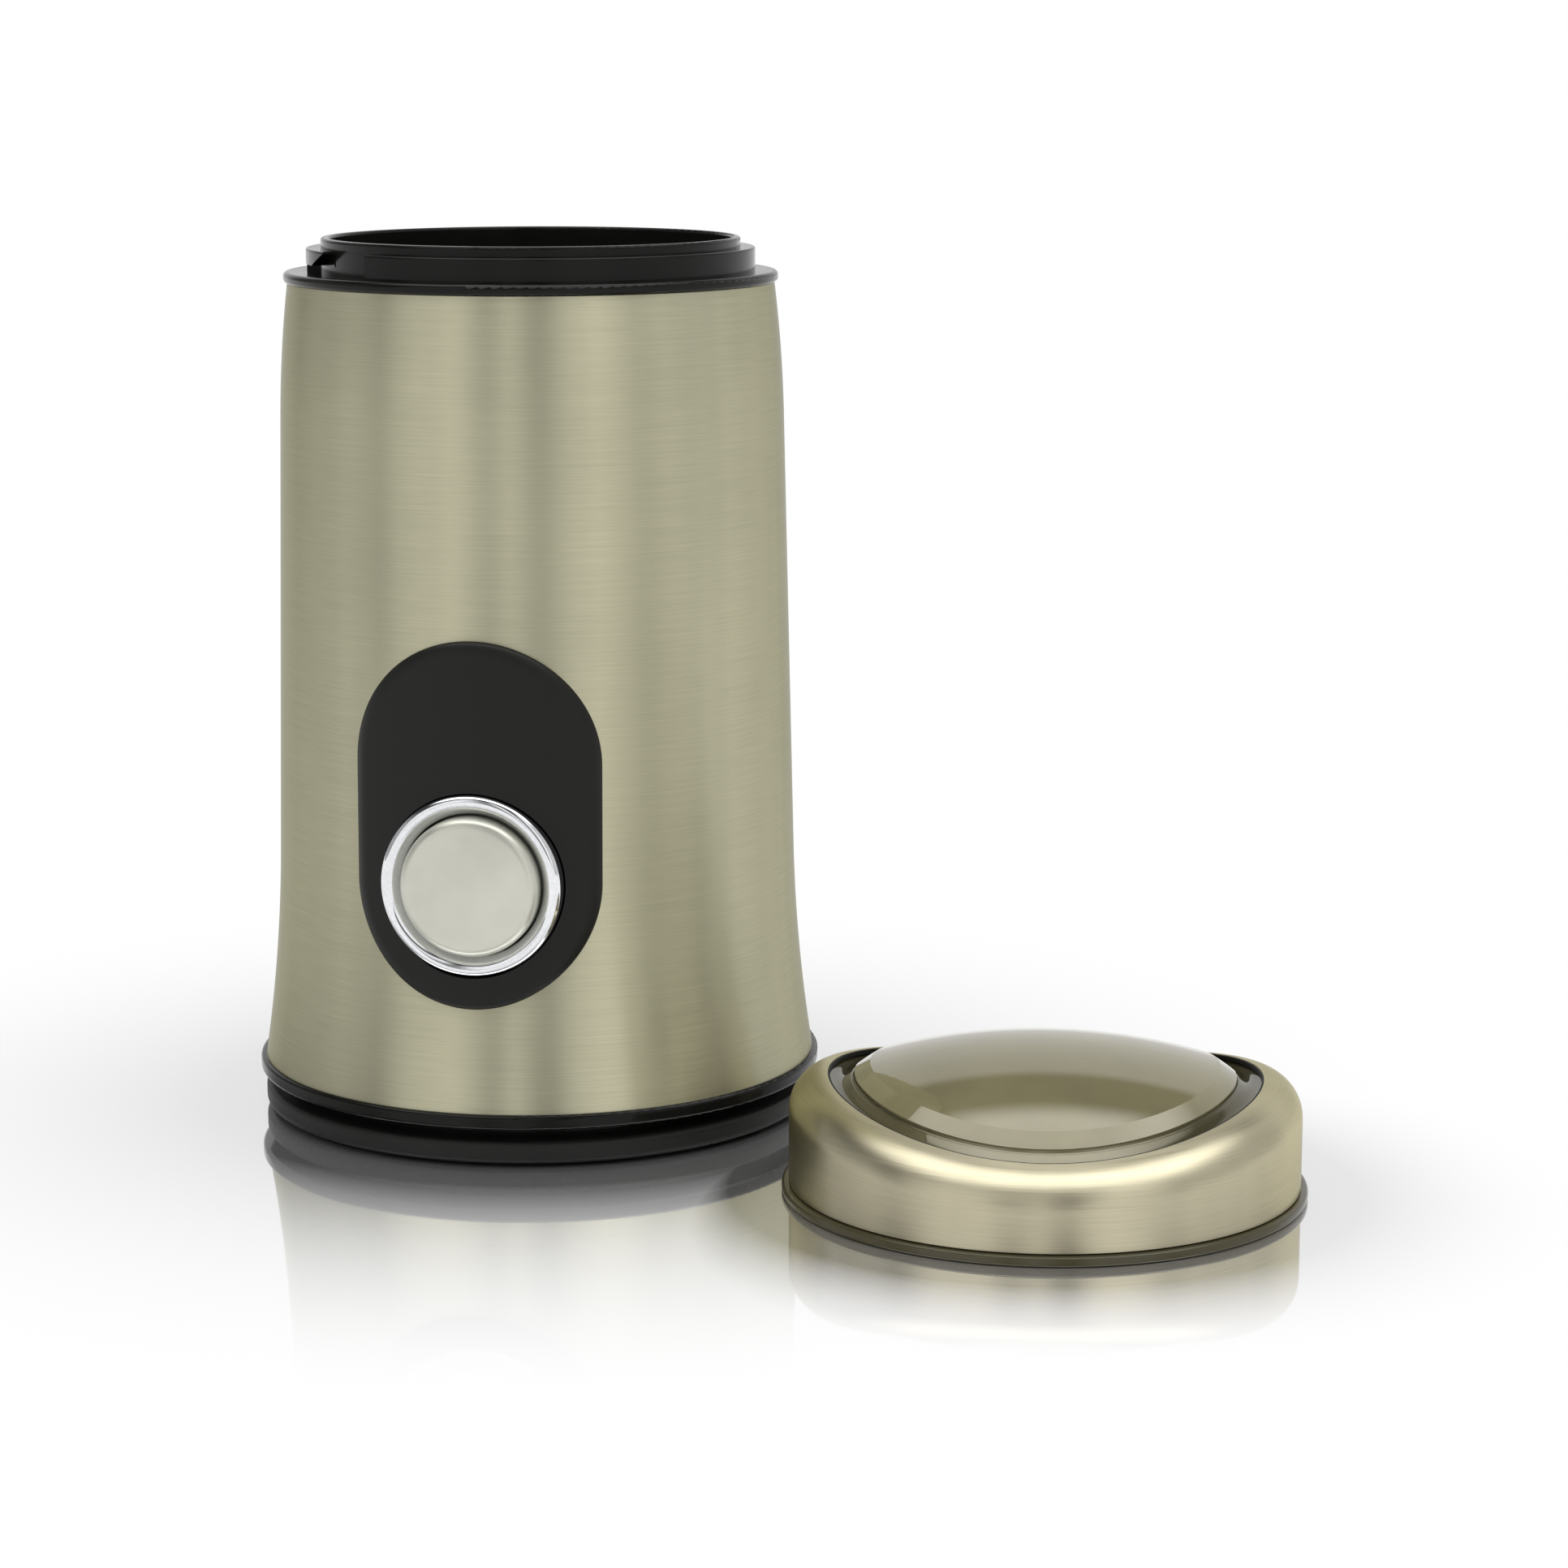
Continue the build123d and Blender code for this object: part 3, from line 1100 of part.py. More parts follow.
def interlock_plunger():
    top = interlock_top()
    return interlock_place(
        disc(INTERLOCK_PLUNGER_R, top - INTERLOCK_PLUNGER_TAIL, top + INTERLOCK_PLUNGER_PROUD, plunger_x()))


# Electrical pieces on the base floor
def terminal_block():
    """Screw terminals at the back, inside the cord's way in."""
    far = sqrt(HOUSING_BORE**2 - (TERMINAL_LENGTH / 2) ** 2) - WALL_SPACE
    top = FLOOR_TOP + TERMINAL_HEIGHT
    body = block(-TERMINAL_LENGTH / 2, TERMINAL_LENGTH / 2, far - TERMINAL_WIDTH, far, FLOOR_TOP, top)
    pitch = TERMINAL_LENGTH / TERMINAL_POLES
    for i in range(TERMINAL_POLES):
        x = (i - (TERMINAL_POLES - 1) / 2) * pitch
        body -= disc(TERMINAL_SCREW_R, top - TERMINAL_SCREW_DEPTH, top + OVERCUT, x, far - TERMINAL_WIDTH / 2)
    return body


def suppressor():
    """Interference capacitor, a rounded block beside the motor's foot."""
    far = sqrt(HOUSING_BORE**2 - (SUPPRESSOR_LENGTH / 2) ** 2) - WALL_SPACE
    body = block(-far, -far + SUPPRESSOR_WIDTH, -SUPPRESSOR_LENGTH / 2, SUPPRESSOR_LENGTH / 2,
                 FLOOR_TOP, FLOOR_TOP + SUPPRESSOR_HEIGHT)
    return fillet(body.edges().filter_by(Axis.Z), SUPPRESSOR_ROUND)


# Lid
def saddle(drop):
    """Space under the saddle-shaped top: a lying cylinder along X, lowered by drop."""
    axis_z = BAND_CREST - SADDLE_R
    return rod_x(SADDLE_R - drop, -2 * BAND_R, 2 * BAND_R, 0, axis_z)


def saddle_cap(inset):
    """Upright drum under the saddle with its top edge rounded, shrunk by inset on every side."""
    body = disc(BAND_R - inset, 0, BAND_CREST + OVERCUT) & saddle(inset)
    edges = [e for e in body.edges() if e.bounding_box().max.Z > BAND_CREST / 2]
    edges = [e for e in edges if e.bounding_box().size.X > BAND_R or e.bounding_box().size.Y > BAND_R]
    return fillet(edges, BAND_ROUND - inset)


def arc_over(half_width, sag):
    """Radius of an arc that sags by a height over half its width."""
    return (half_width**2 + sag**2) / (2 * sag)


def dome(inset):
    """Crowned round dome, shrunk by inset on every side."""
    along = arc_over(DOME_R, DOME_TOP - DOME_SIDE_Z) - inset
    across = arc_over(DOME_R, DOME_TOP - DOME_FRONT_Z) - inset
    reach = DOME_R + OVERCUT
    end_up = across - (along - sqrt(along**2 - reach**2))
    arch = make_face([
        ThreePointArc((-reach, end_up), (0, across), (reach, end_up)),
        Line((reach, end_up), (reach, 0)),
        Line((reach, 0), (-reach, 0)),
        Line((-reach, 0), (-reach, end_up)),
    ])
    crown = revolve(Plane.XZ * arch, Axis.X)
    return Pos(0, 0, DOME_TOP - inset - across) * crown & disc(DOME_R - inset, 0, DOME_TOP)


def dome_rims(body):
    """Closed edges on the dome's upright wall, lowest first."""
    rims = [e for e in body.edges() if e.is_closed and abs(e.bounding_box().max.X - DOME_R) < SEAT_GAP]
    return sorted(rims, key=lambda e: e.bounding_box().min.Z)


def softened_dome(body):
    """Rounds the inner corner at the dome's foot and bevels the dome's upper edge."""
    body = fillet(dome_rims(body)[0], DOME_COVE)
    rim = dome_rims(body)[-1]
    wall = next(f for f in body.faces().filter_by(GeomType.CYLINDER) if rim in f.edges())
    return chamfer(rim, DOME_BEVEL_DROP, DOME_BEVEL_WIDTH, reference=wall)


def in_lid_place(shape):
    x, y = around(1, LID_DISTANCE, LID_PLACE_ANGLE)[0]
    return Pos(x, y, 0) * Rot(0, 0, LID_ANGLE) * shape


def lid_band():
    """Steel band of the lid, open in the middle."""
    body = saddle_cap(0) - saddle_cap(BAND_WALL)
    body -= disc(BAND_OPENING_R, 0, BAND_CREST + OVERCUT)
    body -= disc(BAND_R + OVERCUT, -OVERCUT, LID_FLANGE_HEIGHT)
    return in_lid_place(body)


def lid_cover():
    """Moulded cover: flange, skirt, saddle-shaped top with a dome, and two bayonet tabs."""
    body = saddle_cap(COVER_STEP) + dome(0)
    body = softened_dome(body)
    flange = turned(
        (0, 0),
        (LID_FLANGE_R, 0, LID_FLANGE_ROUND),
        (LID_FLANGE_R, LID_FLANGE_HEIGHT, LID_FLANGE_ROUND),
        (0, LID_FLANGE_HEIGHT),
    )
    body += flange
    inside = COVER_STEP + COVER_WALL
    body -= saddle_cap(inside) + dome(COVER_WALL)
    body -= disc(COVER_BORE, -OVERCUT, LID_FLANGE_HEIGHT)
    tab_inner = RIM_R + RECESS_FLOOR + MOVE_GAP
    for i in range(BAYONET_COUNT):
        start = LID_TAB_CENTRE + 360.0 * i / BAYONET_COUNT - LID_TAB_ANGLE / 2
        body += sector(COVER_BORE + COVER_WALL / 2, tab_inner, LID_TAB_LIFT, LID_TAB_LIFT + LID_TAB_THICK,
                       start, start + LID_TAB_ANGLE)
    return in_lid_place(body)


PIECES = {
    "steel_sleeve": steel_sleeve,
    "base_ring": base_ring,
    "foot_plate": foot_plate,
    "foot_pad": foot_pad,
    "foot_screws": foot_screws,
    "cord_gland": cord_gland,
    "inner_housing": inner_housing,
    "housing_screws": housing_screws,
    "top_collar": top_collar,
    "grinding_bowl": grinding_bowl,
    "bowl_gasket": bowl_gasket,
    "shaft_seal": shaft_seal,
    "motor_shaft": motor_shaft,
    "blade_hub": blade_hub,
    "blade": blade,
    "blade_nut": blade_nut,
    "armature_core": armature_core,
    "armature_winding": armature_winding,
    "commutator": commutator,
    "cooling_fan": cooling_fan,
    "stator_core": stator_core,
    "field_coils": field_coils,
    "upper_bearing": lambda: bearing(UPPER_BRACKET_LOW),
    "lower_bearing": lambda: bearing(LOWER_CUP_LOW + CUP_FLOOR),
    "upper_bracket": upper_bracket,
    "lower_bracket": lower_bracket,
    "motor_screws": motor_screws,
    "motor_mounts": motor_mounts,
    "brush_holders": brush_holders,
    "carbon_brushes": carbon_brushes,
    "brush_springs": brush_springs,
    "control_panel": control_panel,
    "button_bezel": button_bezel,
    "button_cap": button_cap,
    "button_clip": button_clip,
    "button_spring": button_spring,
    "switch_carrier": switch_carrier,
    "power_switch": power_switch,
    "switch_plunger": switch_plunger,
    "interlock_pin": interlock_pin,
    "interlock_spring": interlock_spring,
    "interlock_switch": interlock_switch,
    "interlock_plunger": interlock_plunger,
    "terminal_block": terminal_block,
    "suppressor": suppressor,
    "lid_band": lid_band,
    "lid_cover": lid_cover,
}

os.makedirs("parts", exist_ok=True)
for name, make in PIECES.items():
    export_step(make(), f"parts/{name}.step")
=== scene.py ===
import json

import bpy
import bmesh
import numpy as np
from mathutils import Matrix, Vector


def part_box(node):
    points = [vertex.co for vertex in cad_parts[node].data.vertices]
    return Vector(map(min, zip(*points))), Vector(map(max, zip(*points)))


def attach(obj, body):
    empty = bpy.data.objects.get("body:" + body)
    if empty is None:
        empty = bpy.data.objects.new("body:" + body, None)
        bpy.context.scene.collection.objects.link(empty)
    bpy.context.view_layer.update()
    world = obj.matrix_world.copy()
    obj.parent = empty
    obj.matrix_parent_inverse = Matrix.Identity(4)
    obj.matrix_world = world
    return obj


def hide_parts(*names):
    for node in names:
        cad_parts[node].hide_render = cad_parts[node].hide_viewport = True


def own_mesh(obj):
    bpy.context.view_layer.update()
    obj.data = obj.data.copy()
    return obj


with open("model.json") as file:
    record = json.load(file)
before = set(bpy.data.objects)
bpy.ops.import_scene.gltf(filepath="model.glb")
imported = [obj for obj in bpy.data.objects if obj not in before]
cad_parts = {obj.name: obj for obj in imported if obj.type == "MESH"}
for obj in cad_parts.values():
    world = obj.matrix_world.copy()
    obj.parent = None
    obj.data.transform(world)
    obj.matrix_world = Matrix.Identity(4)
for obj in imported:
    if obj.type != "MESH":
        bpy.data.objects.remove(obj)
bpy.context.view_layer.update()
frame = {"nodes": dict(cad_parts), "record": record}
NODES = frame["nodes"]

bl_info = {
    "name": "Coffee grinder",
    "version": (1, 0, 0),
    "blender": (4, 5, 0),
    "location": "View3D > Sidebar > Grinder",
    "description": "Builds the visible pieces, finishes and studio of an electric coffee grinder",
    "category": "Object",
}

# Attribute of painted shade: it darkens the hollow round the lid's dome towards the sides
PAINTED_SIDE_SHADE = "painted_side_shade"
SHARP_ANGLE = np.radians(38.0)
ROUND_STEPS = 10
LID_TURN = np.radians(6.4)
# Lengths under which points are one point, and edges have no length
SAME_POINT = 2e-7
NO_LENGTH = 1e-7
# Keeps a division by a cosine from zero
SMALL_COSINE = 1e-9


def low(node, axis):
    """Lowest coordinate of a CAD node along one axis, in metres."""
    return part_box(node)[0][axis]


def high(node, axis):
    """Highest coordinate of a CAD node along one axis, in metres."""
    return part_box(node)[1][axis]


def middle(node, axis):
    """Middle of a CAD node along one axis, in metres."""
    return (low(node, axis) + high(node, axis)) / 2


def half(node, axis):
    """Half of a CAD node's size along one axis, in metres."""
    return (high(node, axis) - low(node, axis)) / 2


LID_X, LID_Y = middle("lid_cover", 0), middle("lid_cover", 1)
BUTTON_Z = middle("button_cap", 2)
SLEEVE_LOW, SLEEVE_TOP = low("steel_sleeve", 2), high("steel_sleeve", 2)


def length(name, default, description):
    """A size that a user can change, in metres."""
    return bpy.props.FloatProperty(
        name=name, description=description, default=default, min=0.0, precision=5,
        subtype="DISTANCE", unit="LENGTH",
    )


def turning(name, default, description):
    """An angle that a user can change, in radians."""
    return bpy.props.FloatProperty(name=name, description=description, default=default, subtype="ANGLE")


def colour(name, default, description):
    """A linear colour that a user can change."""
    return bpy.props.FloatVectorProperty(
        name=name, description=description, default=default, min=0.0, max=1.0, size=3, subtype="COLOR"
    )


class GrinderSizes(bpy.types.PropertyGroup):
    """Sizes of the visible surfaces, in metres."""

    sleeve_foot: length("Sleeve foot radius", half("steel_sleeve", 0), "Radius of the sleeve's flared foot")
    sleeve_flare: length("Sleeve flare", 0.0033, "How far the foot stands out past the waist")
    sleeve_taper: length("Sleeve taper", 0.0017, "How far the waist stands out past the shoulder")
    sleeve_draw: length("Sleeve draw", 0.00165, "How far the shoulder stands out past the top")
    flare_height: length("Flare height", 0.0367, "Height of the flared foot")
    shoulder_height: length("Shoulder height", 0.0229, "Height of the drawn-in top")
    sleeve_wall: length("Sleeve wall", 0.0006, "Thickness of the steel skin")
    panel_width: length("Panel width", 0.042, "Width of the control panel")
    panel_height: length("Panel height", 0.0618, "Height of the control panel")
    panel_proud: length("Panel proud", 0.0014, "How far the panel stands out of the sleeve")
    panel_round: length("Panel rounding", 0.0012, "Height of the panel's rounded edge")
    panel_edge: length("Panel edge", 0.0021, "Width of the panel's rounded edge")
    panel_depth: length("Panel depth", 0.0032, "Height of the panel's side wall")
    well_gap: length("Well gap", 0.0002, "Gap between the bezel and its well in the panel")
    well_depth: length("Well depth", 0.004, "Depth of the well in the panel")
    bezel_radius: length("Bezel radius", half("button_bezel", 0), "Outer radius of the bezel")
    bezel_land: length("Bezel land", 0.0019, "Width of the bezel's front")
    bezel_cone: length("Bezel cone", 0.0014, "Width of the bezel's coned mouth")
    bezel_cone_depth: length("Bezel cone depth", 0.0018, "Depth of the bezel's coned mouth")
    bezel_round: length("Bezel rounding", 0.0011, "Rounding of the bezel's outer edge")
    bezel_crown: length("Bezel crown", 0.0016, "Rounding between the bezel's front and its coned mouth")
    bezel_break: length("Bezel edge break", 0.0002, "Rounding of the bezel's inner edge")
    cap_radius: length("Button radius", half("button_cap", 0), "Radius of the push button")
    cap_height: length("Button height", 0.0061, "Height of the push button's skirt")
    cap_wall: length("Button wall", 0.002, "Thickness of the push button")
    cap_round: length("Button rounding", 0.0017, "Rounding of the push button's edge")
    stem_radius: length("Stem radius", 0.0026, "Radius of the push button's stem")
    lid_flange: length("Lid flange radius", half("lid_cover", 0), "Outer radius of the lid's foot")
    lid_flange_height: length("Lid flange height", 0.0017, "Height of the lid's foot")
    lid_flange_round: length("Lid flange rounding", 0.0006, "Rounding of the lid's foot")
    band_radius: length("Band radius", half("lid_band", 0), "Outer radius of the lid's steel band")
    band_wall: length("Band wall", 0.0006, "Thickness of the lid's steel band")
    band_crest: length("Band crest", high("lid_band", 2), "Height of the band's saddle-shaped top")
    band_round: length("Band rounding", 0.0062, "Rounding between the band's wall and its top")
    band_land: length("Band land", 0.0002, "Width of the band's top inside its rounding")
    band_lift: length("Band lift", 0.00025, "Gap between the band and the lid's foot")
    # The seam is painted shade: a dark strip where the gap at the band's opening lies in shade
    seam_width: length("Seam width", 0.00035, "Width of the dark seam inside the band's opening")
    seam_drop: length("Seam drop", 0.0001, "How far the seam lies under the band's top")
    saddle_radius: length("Saddle radius", 0.127, "Radius of the lying cylinder that gives the lid its top")
    cover_gap: length("Cover gap", 0.0002, "Gap between the band and the cover under it")
    cover_wall: length("Cover wall", 0.0019, "Thickness of the cover")
    moat_dip: length("Moat dip", 0.0007, "Depth of the hollow between the band's opening and the dome")
    dome_inset: length("Dome inset", 0.0044, "How far the dome stands inside the band's opening")
    dome_top: length("Dome top", high("lid_cover", 2), "Height of the dome's crown")
    dome_step: length("Dome step", 0.0016, "Height of the dome's upright edge at the front")
    dome_step_more: length("Dome step at the sides", 0.0002, "How much taller that edge is at the sides")
    dome_cove: length("Dome cove", 0.0006, "Hollow rounding at the dome's foot")
    bevel_drop: length("Bevel drop", 0.0009, "What the bevel takes off the dome's upright edge")
    bevel_width: length("Bevel width", 0.0027, "What the bevel takes off the dome's crown")
    tab_inner: length("Lid tab inner radius", 0.0366, "Inner radius of the lid's bayonet tabs")
    tab_low: length("Lid tab lift", 0.0001, "Height of the tabs over the table")
    tab_thick: length("Lid tab thickness", 0.0011, "Thickness of the tabs")


class GrinderColours(bpy.types.PropertyGroup):
    """Linear base colours of the visible finishes."""

    steel: colour("Brushed steel", (0.545, 0.525, 0.374), "Brushed steel of the sleeve")
    # A lighter copy of the sleeve's steel: painted light, so the lid's band looks brighter
    lid_steel: colour("Lit lid steel", (0.575, 0.53, 0.38), "Brushed steel of the lid's band")
    gloss_black: colour("Gloss black", (0.008, 0.008, 0.007), "Collar and base ring")
    plate_black: colour("Foot plate black", (0.014, 0.014, 0.013), "Textured foot plate")
    panel_black: colour("Panel black", (0.007, 0.007, 0.006), "Matte control panel")
    silver: colour("Silver paint", (0.655, 0.655, 0.575), "Push button")
    chrome: colour("Chrome", (0.83, 0.84, 0.86), "Bezel and bright fixings")
    smoke: colour("Smoke tint", (0.33, 0.298, 0.16), "Tinted cover of the lid")
    # A darker copy of the smoke tint: painted shade on the lid's foot, under the band
    smoke_foot_shaded: colour("Smoke tint of the foot", (0.075, 0.066, 0.034), "Foot of the lid's cover, in painted shade")


class GrinderStage(bpy.types.PropertyGroup):
    """Camera."""

    camera_distance: length("Camera distance", 0.6857, "Level distance from the camera to the body's axis")
    camera_height: length("Camera height", 0.1866, "Height of the camera over the table")
    camera_aside: length("Camera aside", 0.04362, "How far the camera's axis passes right of the body's axis")
    camera_turn: turning("Camera turn", np.radians(10.4), "Turn of the camera round the body")
    camera_pitch: turning("Camera pitch", np.radians(10.75), "Downward pitch of the camera")
    lens: bpy.props.FloatProperty(
        name="Lens", description="Focal length on a 36 mm sensor, in millimetres", default=90.54, min=1.0
    )


# Surfaces


def corner_arc(before, corner, after, radius):
    """Round of a given radius between two straight runs that meet in a corner: the centre lies on the
    bisector, at radius over the sine of half the angle, and the arc runs between the two tangent points."""
    before, corner, after = (np.asarray(p, float) for p in (before, corner, after))
    a = (before - corner) / np.linalg.norm(before - corner)
    b = (after - corner) / np.linalg.norm(after - corner)
    half_angle = np.arccos(np.clip(a @ b, -1, 1)) / 2
    bisector = (a + b) / np.linalg.norm(a + b)
    centre = corner + bisector * radius / np.sin(half_angle)
    start = corner + a * radius / np.tan(half_angle) - centre
    end = corner + b * radius / np.tan(half_angle) - centre
    sweep = np.pi - 2 * half_angle
    t = np.linspace(0, 1, ROUND_STEPS)[:, None]
    return centre + (np.sin((1 - t) * sweep) * start + np.sin(t * sweep) * end) / np.sin(sweep)


def outline(*corners):
    """Closed profile from corners (radius, height) or (radius, height, rounding), each rounding as an arc."""
    points = []
    for i, corner in enumerate(corners):
        if len(corner) > 2 and corner[2] > 0:
            before, after = corners[i - 1][:2], corners[(i + 1) % len(corners)][:2]
            points.extend(corner_arc(before, corner[:2], after, corner[2]))
        else:
            points.append(np.asarray(corner[:2], float))
    return np.array(points)


def tangent_arc(start, direction, end, count):
    """Arc from start to end that leaves start along direction: its radius is the chord squared over twice the
    chord's part across the direction."""
    start, end = np.asarray(start, float), np.asarray(end, float)
    along = np.asarray(direction, float) / np.linalg.norm(direction)
    across = np.array([-along[1], along[0]])
    chord = end - start
    radius = chord @ chord / (2 * chord @ across)
    centre = start + across * radius
    first = start - centre
    last = end - centre
    sweep = np.arctan2(first[0] * last[1] - first[1] * last[0], first @ last)
    t = np.linspace(0, sweep, count)[:, None]
    c, s = np.cos(t), np.sin(t)
    return centre + np.hstack([first[0] * c - first[1] * s, first[0] * s + first[1] * c])


def polar(radius, angle, height):
    """Points at a radius, an angle and a height."""
    return np.stack(np.broadcast_arrays(radius * np.cos(angle), radius * np.sin(angle), height), axis=-1)


def lathe(profile, segments):
    """Surface of revolution: point (r, z) of the profile at turn t is (r cos t, r sin t, z), t from the
    back."""
    turn = np.pi / 2 + np.linspace(0, 2 * np.pi, segments + 1)
    return polar(profile[None, :, 0], turn[:, None], profile[None, :, 1])


def wrap_uv(grid, round_length):
    """UV in metres: even length round the surface, and running length across it along each row of points."""
    steps = np.linalg.norm(np.diff(grid, axis=1), axis=-1)
    v = np.hstack([np.zeros((len(grid), 1)), np.cumsum(steps, axis=1)])
    u = np.linspace(0, round_length, len(grid))[:, None]
    return np.stack(np.broadcast_arrays(u, v), axis=-1)


def closed(profile):
    """Profile with its first point repeated at its end."""
    return np.vstack([profile, profile[:1]])


def grid_object(name, grid, uv, keep=None, smooth_angle=SHARP_ANGLE, painted_side_shade=None):
    """Mesh of the quads of a grid of points. Coincident points are merged, so seams and poles close, and
    normals are turned outwards. keep is a mask of the quads that stay, painted_side_shade a value from 0 to 1
    at each point, of painted shade for the finish."""
    rows, columns = grid.shape[:2]
    index = np.arange(rows * columns).reshape(rows, columns)
    corners = [index[:-1, :-1], index[1:, :-1], index[1:, 1:], index[:-1, 1:]]
    quads = np.stack(corners, axis=-1).reshape(-1, 4)
    if keep is not None:
        quads = quads[keep.reshape(-1)]
    mesh = bpy.data.meshes.new(name)
    mesh.from_pydata(grid.reshape(-1, 3), [], quads)
    layer = mesh.uv_layers.new(name="UVMap")
    layer.data.foreach_set("uv", uv.reshape(-1, 2)[quads.reshape(-1)].astype(np.float32).reshape(-1))
    if painted_side_shade is not None:
        values = mesh.attributes.new(PAINTED_SIDE_SHADE, "FLOAT", "POINT")
        values.data.foreach_set("value", painted_side_shade.astype(np.float32).reshape(-1))
    merged = bmesh.new()
    merged.from_mesh(mesh)
    bmesh.ops.remove_doubles(merged, verts=merged.verts, dist=SAME_POINT)
    bmesh.ops.dissolve_degenerate(merged, edges=merged.edges, dist=NO_LENGTH)
    loose = [v for v in merged.verts if not v.link_faces]
    bmesh.ops.delete(merged, geom=loose, context="VERTS")
    bmesh.ops.recalc_face_normals(merged, faces=merged.faces)
    merged.to_mesh(mesh)
    merged.free()
    mesh.polygons.foreach_set("use_smooth", np.ones(len(mesh.polygons), bool))
    mesh.set_sharp_from_angle(angle=smooth_angle)
    made = bpy.data.objects.new(name, mesh)
    bpy.context.scene.collection.objects.link(made)
    return made


def lathe_object(name, profile, segments, place):
    """Closed turned piece; place moves its points from the turning axis to where the piece sits."""
    grid = place(lathe(closed(profile), segments))
    return grid_object(name, grid, wrap_uv(grid, 2 * np.pi * np.abs(profile[:, 0]).max()))


def put(piece, body, material, *nodes, slot=None):
    """Gives a piece its finish and its body, and hides the CAD nodes that it stands for.
    slot is not used."""
    piece.data.materials.clear()
    piece.data.materials.append(material)
    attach(piece, body)
    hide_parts(*nodes)


# Finishes

WHITE = (1.0, 1.0, 1.0, 1.0)
EDGE_TINT = (0.62, 0.62, 0.56, 1.0)
# Lighter edge tint than the sleeve's: painted light on the edges of the lid's band
LIT_LID_EDGE_TINT = (0.8, 0.78, 0.64, 1.0)
SMOKE_SHINE = (1.0, 0.9, 0.58, 1.0)
RELIEF = 0.0001
NOISE_ROUGHNESS = 0.55
NOISE_MIDDLE = (0.25, 0.75)

# Noise cells to a metre, along and across the brushing where there are three, and the shades that they give
HAIR_CELLS, HAIR_SHADE = (60.0, 4200.0, 1.0), (0.92, 1.06)
STREAK_CELLS, STREAK_SHADE = (30.0, 1500.0, 1.0), (0.97, 1.03)
# The bands are painted reflection: upright soft bands of sheen and shade in the steel's tint
SHEEN_BAND_CELLS, SHEEN_BAND_SHADE = (90.0, 2.0, 1.0), (0.93, 1.07)
CLOUD_CELLS, CLOUD_SHADE = 28.0, (0.94, 1.04)
GRAIN_CELLS = 2600.0
PATCH_CELLS, PATCH_SHADE = 65.0, (0.88, 1.12)
PIT_CELLS, PIT_SHADE = 1800.0, (0.93, 1.05)
HANDLING_CELLS, HANDLING_SHADE = 90.0, (0.93, 1.05)


def feed(tree, socket, value):
    """Links another node's output to a socket, or sets a plain value on it."""
    if isinstance(value, bpy.types.NodeSocket):
        tree.links.new(value, socket)
    else:
        socket.default_value = value


def add(tree, kind, inputs, **settings):
    """New shader node with its settings, and with inputs fed by name or number."""
    made = tree.nodes.new(f"ShaderNode{kind}")
    for label, value in settings.items():
        setattr(made, label, value)
    for label, value in inputs.items():
        feed(tree, made.inputs[label], value)
    return made


def result(tree, operation, *values):
    """What a Math node makes of one to three values."""
    return add(tree, "Math", dict(enumerate(values)), operation=operation).outputs["Value"]


def times(tree, a, b):
    """Product of two values."""
    return result(tree, "MULTIPLY", a, b)


def less(tree, share, mask):
    """One less a share of a mask."""
    return result(tree, "MULTIPLY_ADD", mask, -share, 1.0)


def largest(tree, value, *others):
    """The largest of some values."""
    for other in others:
        value = result(tree, "MAXIMUM", value, other)
    return value


def scaled_colour(tree, tint, value):
    """Colour times a value."""
    return add(tree, "VectorMath", {0: tint, "Scale": value}, operation="SCALE").outputs["Vector"]


def stretched(tree, vector, scale):
    """Vector with its own scale on each axis."""
    return add(tree, "Mapping", {"Vector": vector, "Scale": scale}).outputs["Vector"]


def noise(tree, vector, scale, detail):
    """Noise value from 0 to 1 at a vector."""
    inputs = {"Vector": vector, "Scale": scale, "Detail": detail, "Roughness": NOISE_ROUGHNESS}
    return add(tree, "TexNoise", inputs).outputs["Fac"]


def mapped(tree, value, start, end, first, last, **settings):
    """Maps a value from the range between start and end to the range between first and last."""
    inputs = {"Value": value, "From Min": start, "From Max": end, "To Min": first, "To Max": last}
    return add(tree, "MapRange", inputs, **settings).outputs["Result"]


def spread(tree, value, first, last):
    """Maps the middle of a noise value's range to a range between two sockets or numbers."""
    return mapped(tree, value, *NOISE_MIDDLE, first, last)


def soft_step(tree, value, start, end):
    """Smooth step of a value from 0 at start to 1 at end."""
    ends = (1.0, 0.0) if end < start else (0.0, 1.0)
    return mapped(tree, value, min(start, end), max(start, end), *ends, interpolation_type="SMOOTHSTEP")


def brushed(tree, vector):
    """Hairlines along X of the vector, wide soft bands of painted reflection that change along X, and a faint
    cloud of handling marks."""
    hair = noise(tree, stretched(tree, vector, HAIR_CELLS), scale=1.0, detail=2.0)
    streak = noise(tree, stretched(tree, vector, STREAK_CELLS), scale=1.0, detail=3.0)
    # band is painted reflection: upright bands of sheen round the steel
    band = noise(tree, stretched(tree, vector, SHEEN_BAND_CELLS), scale=1.0, detail=1.5)
    cloud = noise(tree, vector, CLOUD_CELLS, detail=3.0)
    wide = times(tree, spread(tree, streak, *STREAK_SHADE), spread(tree, band, *SHEEN_BAND_SHADE))
    fine = times(tree, spread(tree, hair, *HAIR_SHADE), spread(tree, cloud, *CLOUD_SHADE))
    return times(tree, wide, fine), streak, hair


def moulded(tree, vector):
    """Moulded plastic or rubber: a fine grain, with soft patches where the gloss and the shade change a
    little."""
    patch = noise(tree, vector, PATCH_CELLS, detail=3.0)
    return spread(tree, patch, *PATCH_SHADE), patch, noise(tree, vector, GRAIN_CELLS, detail=1.0)


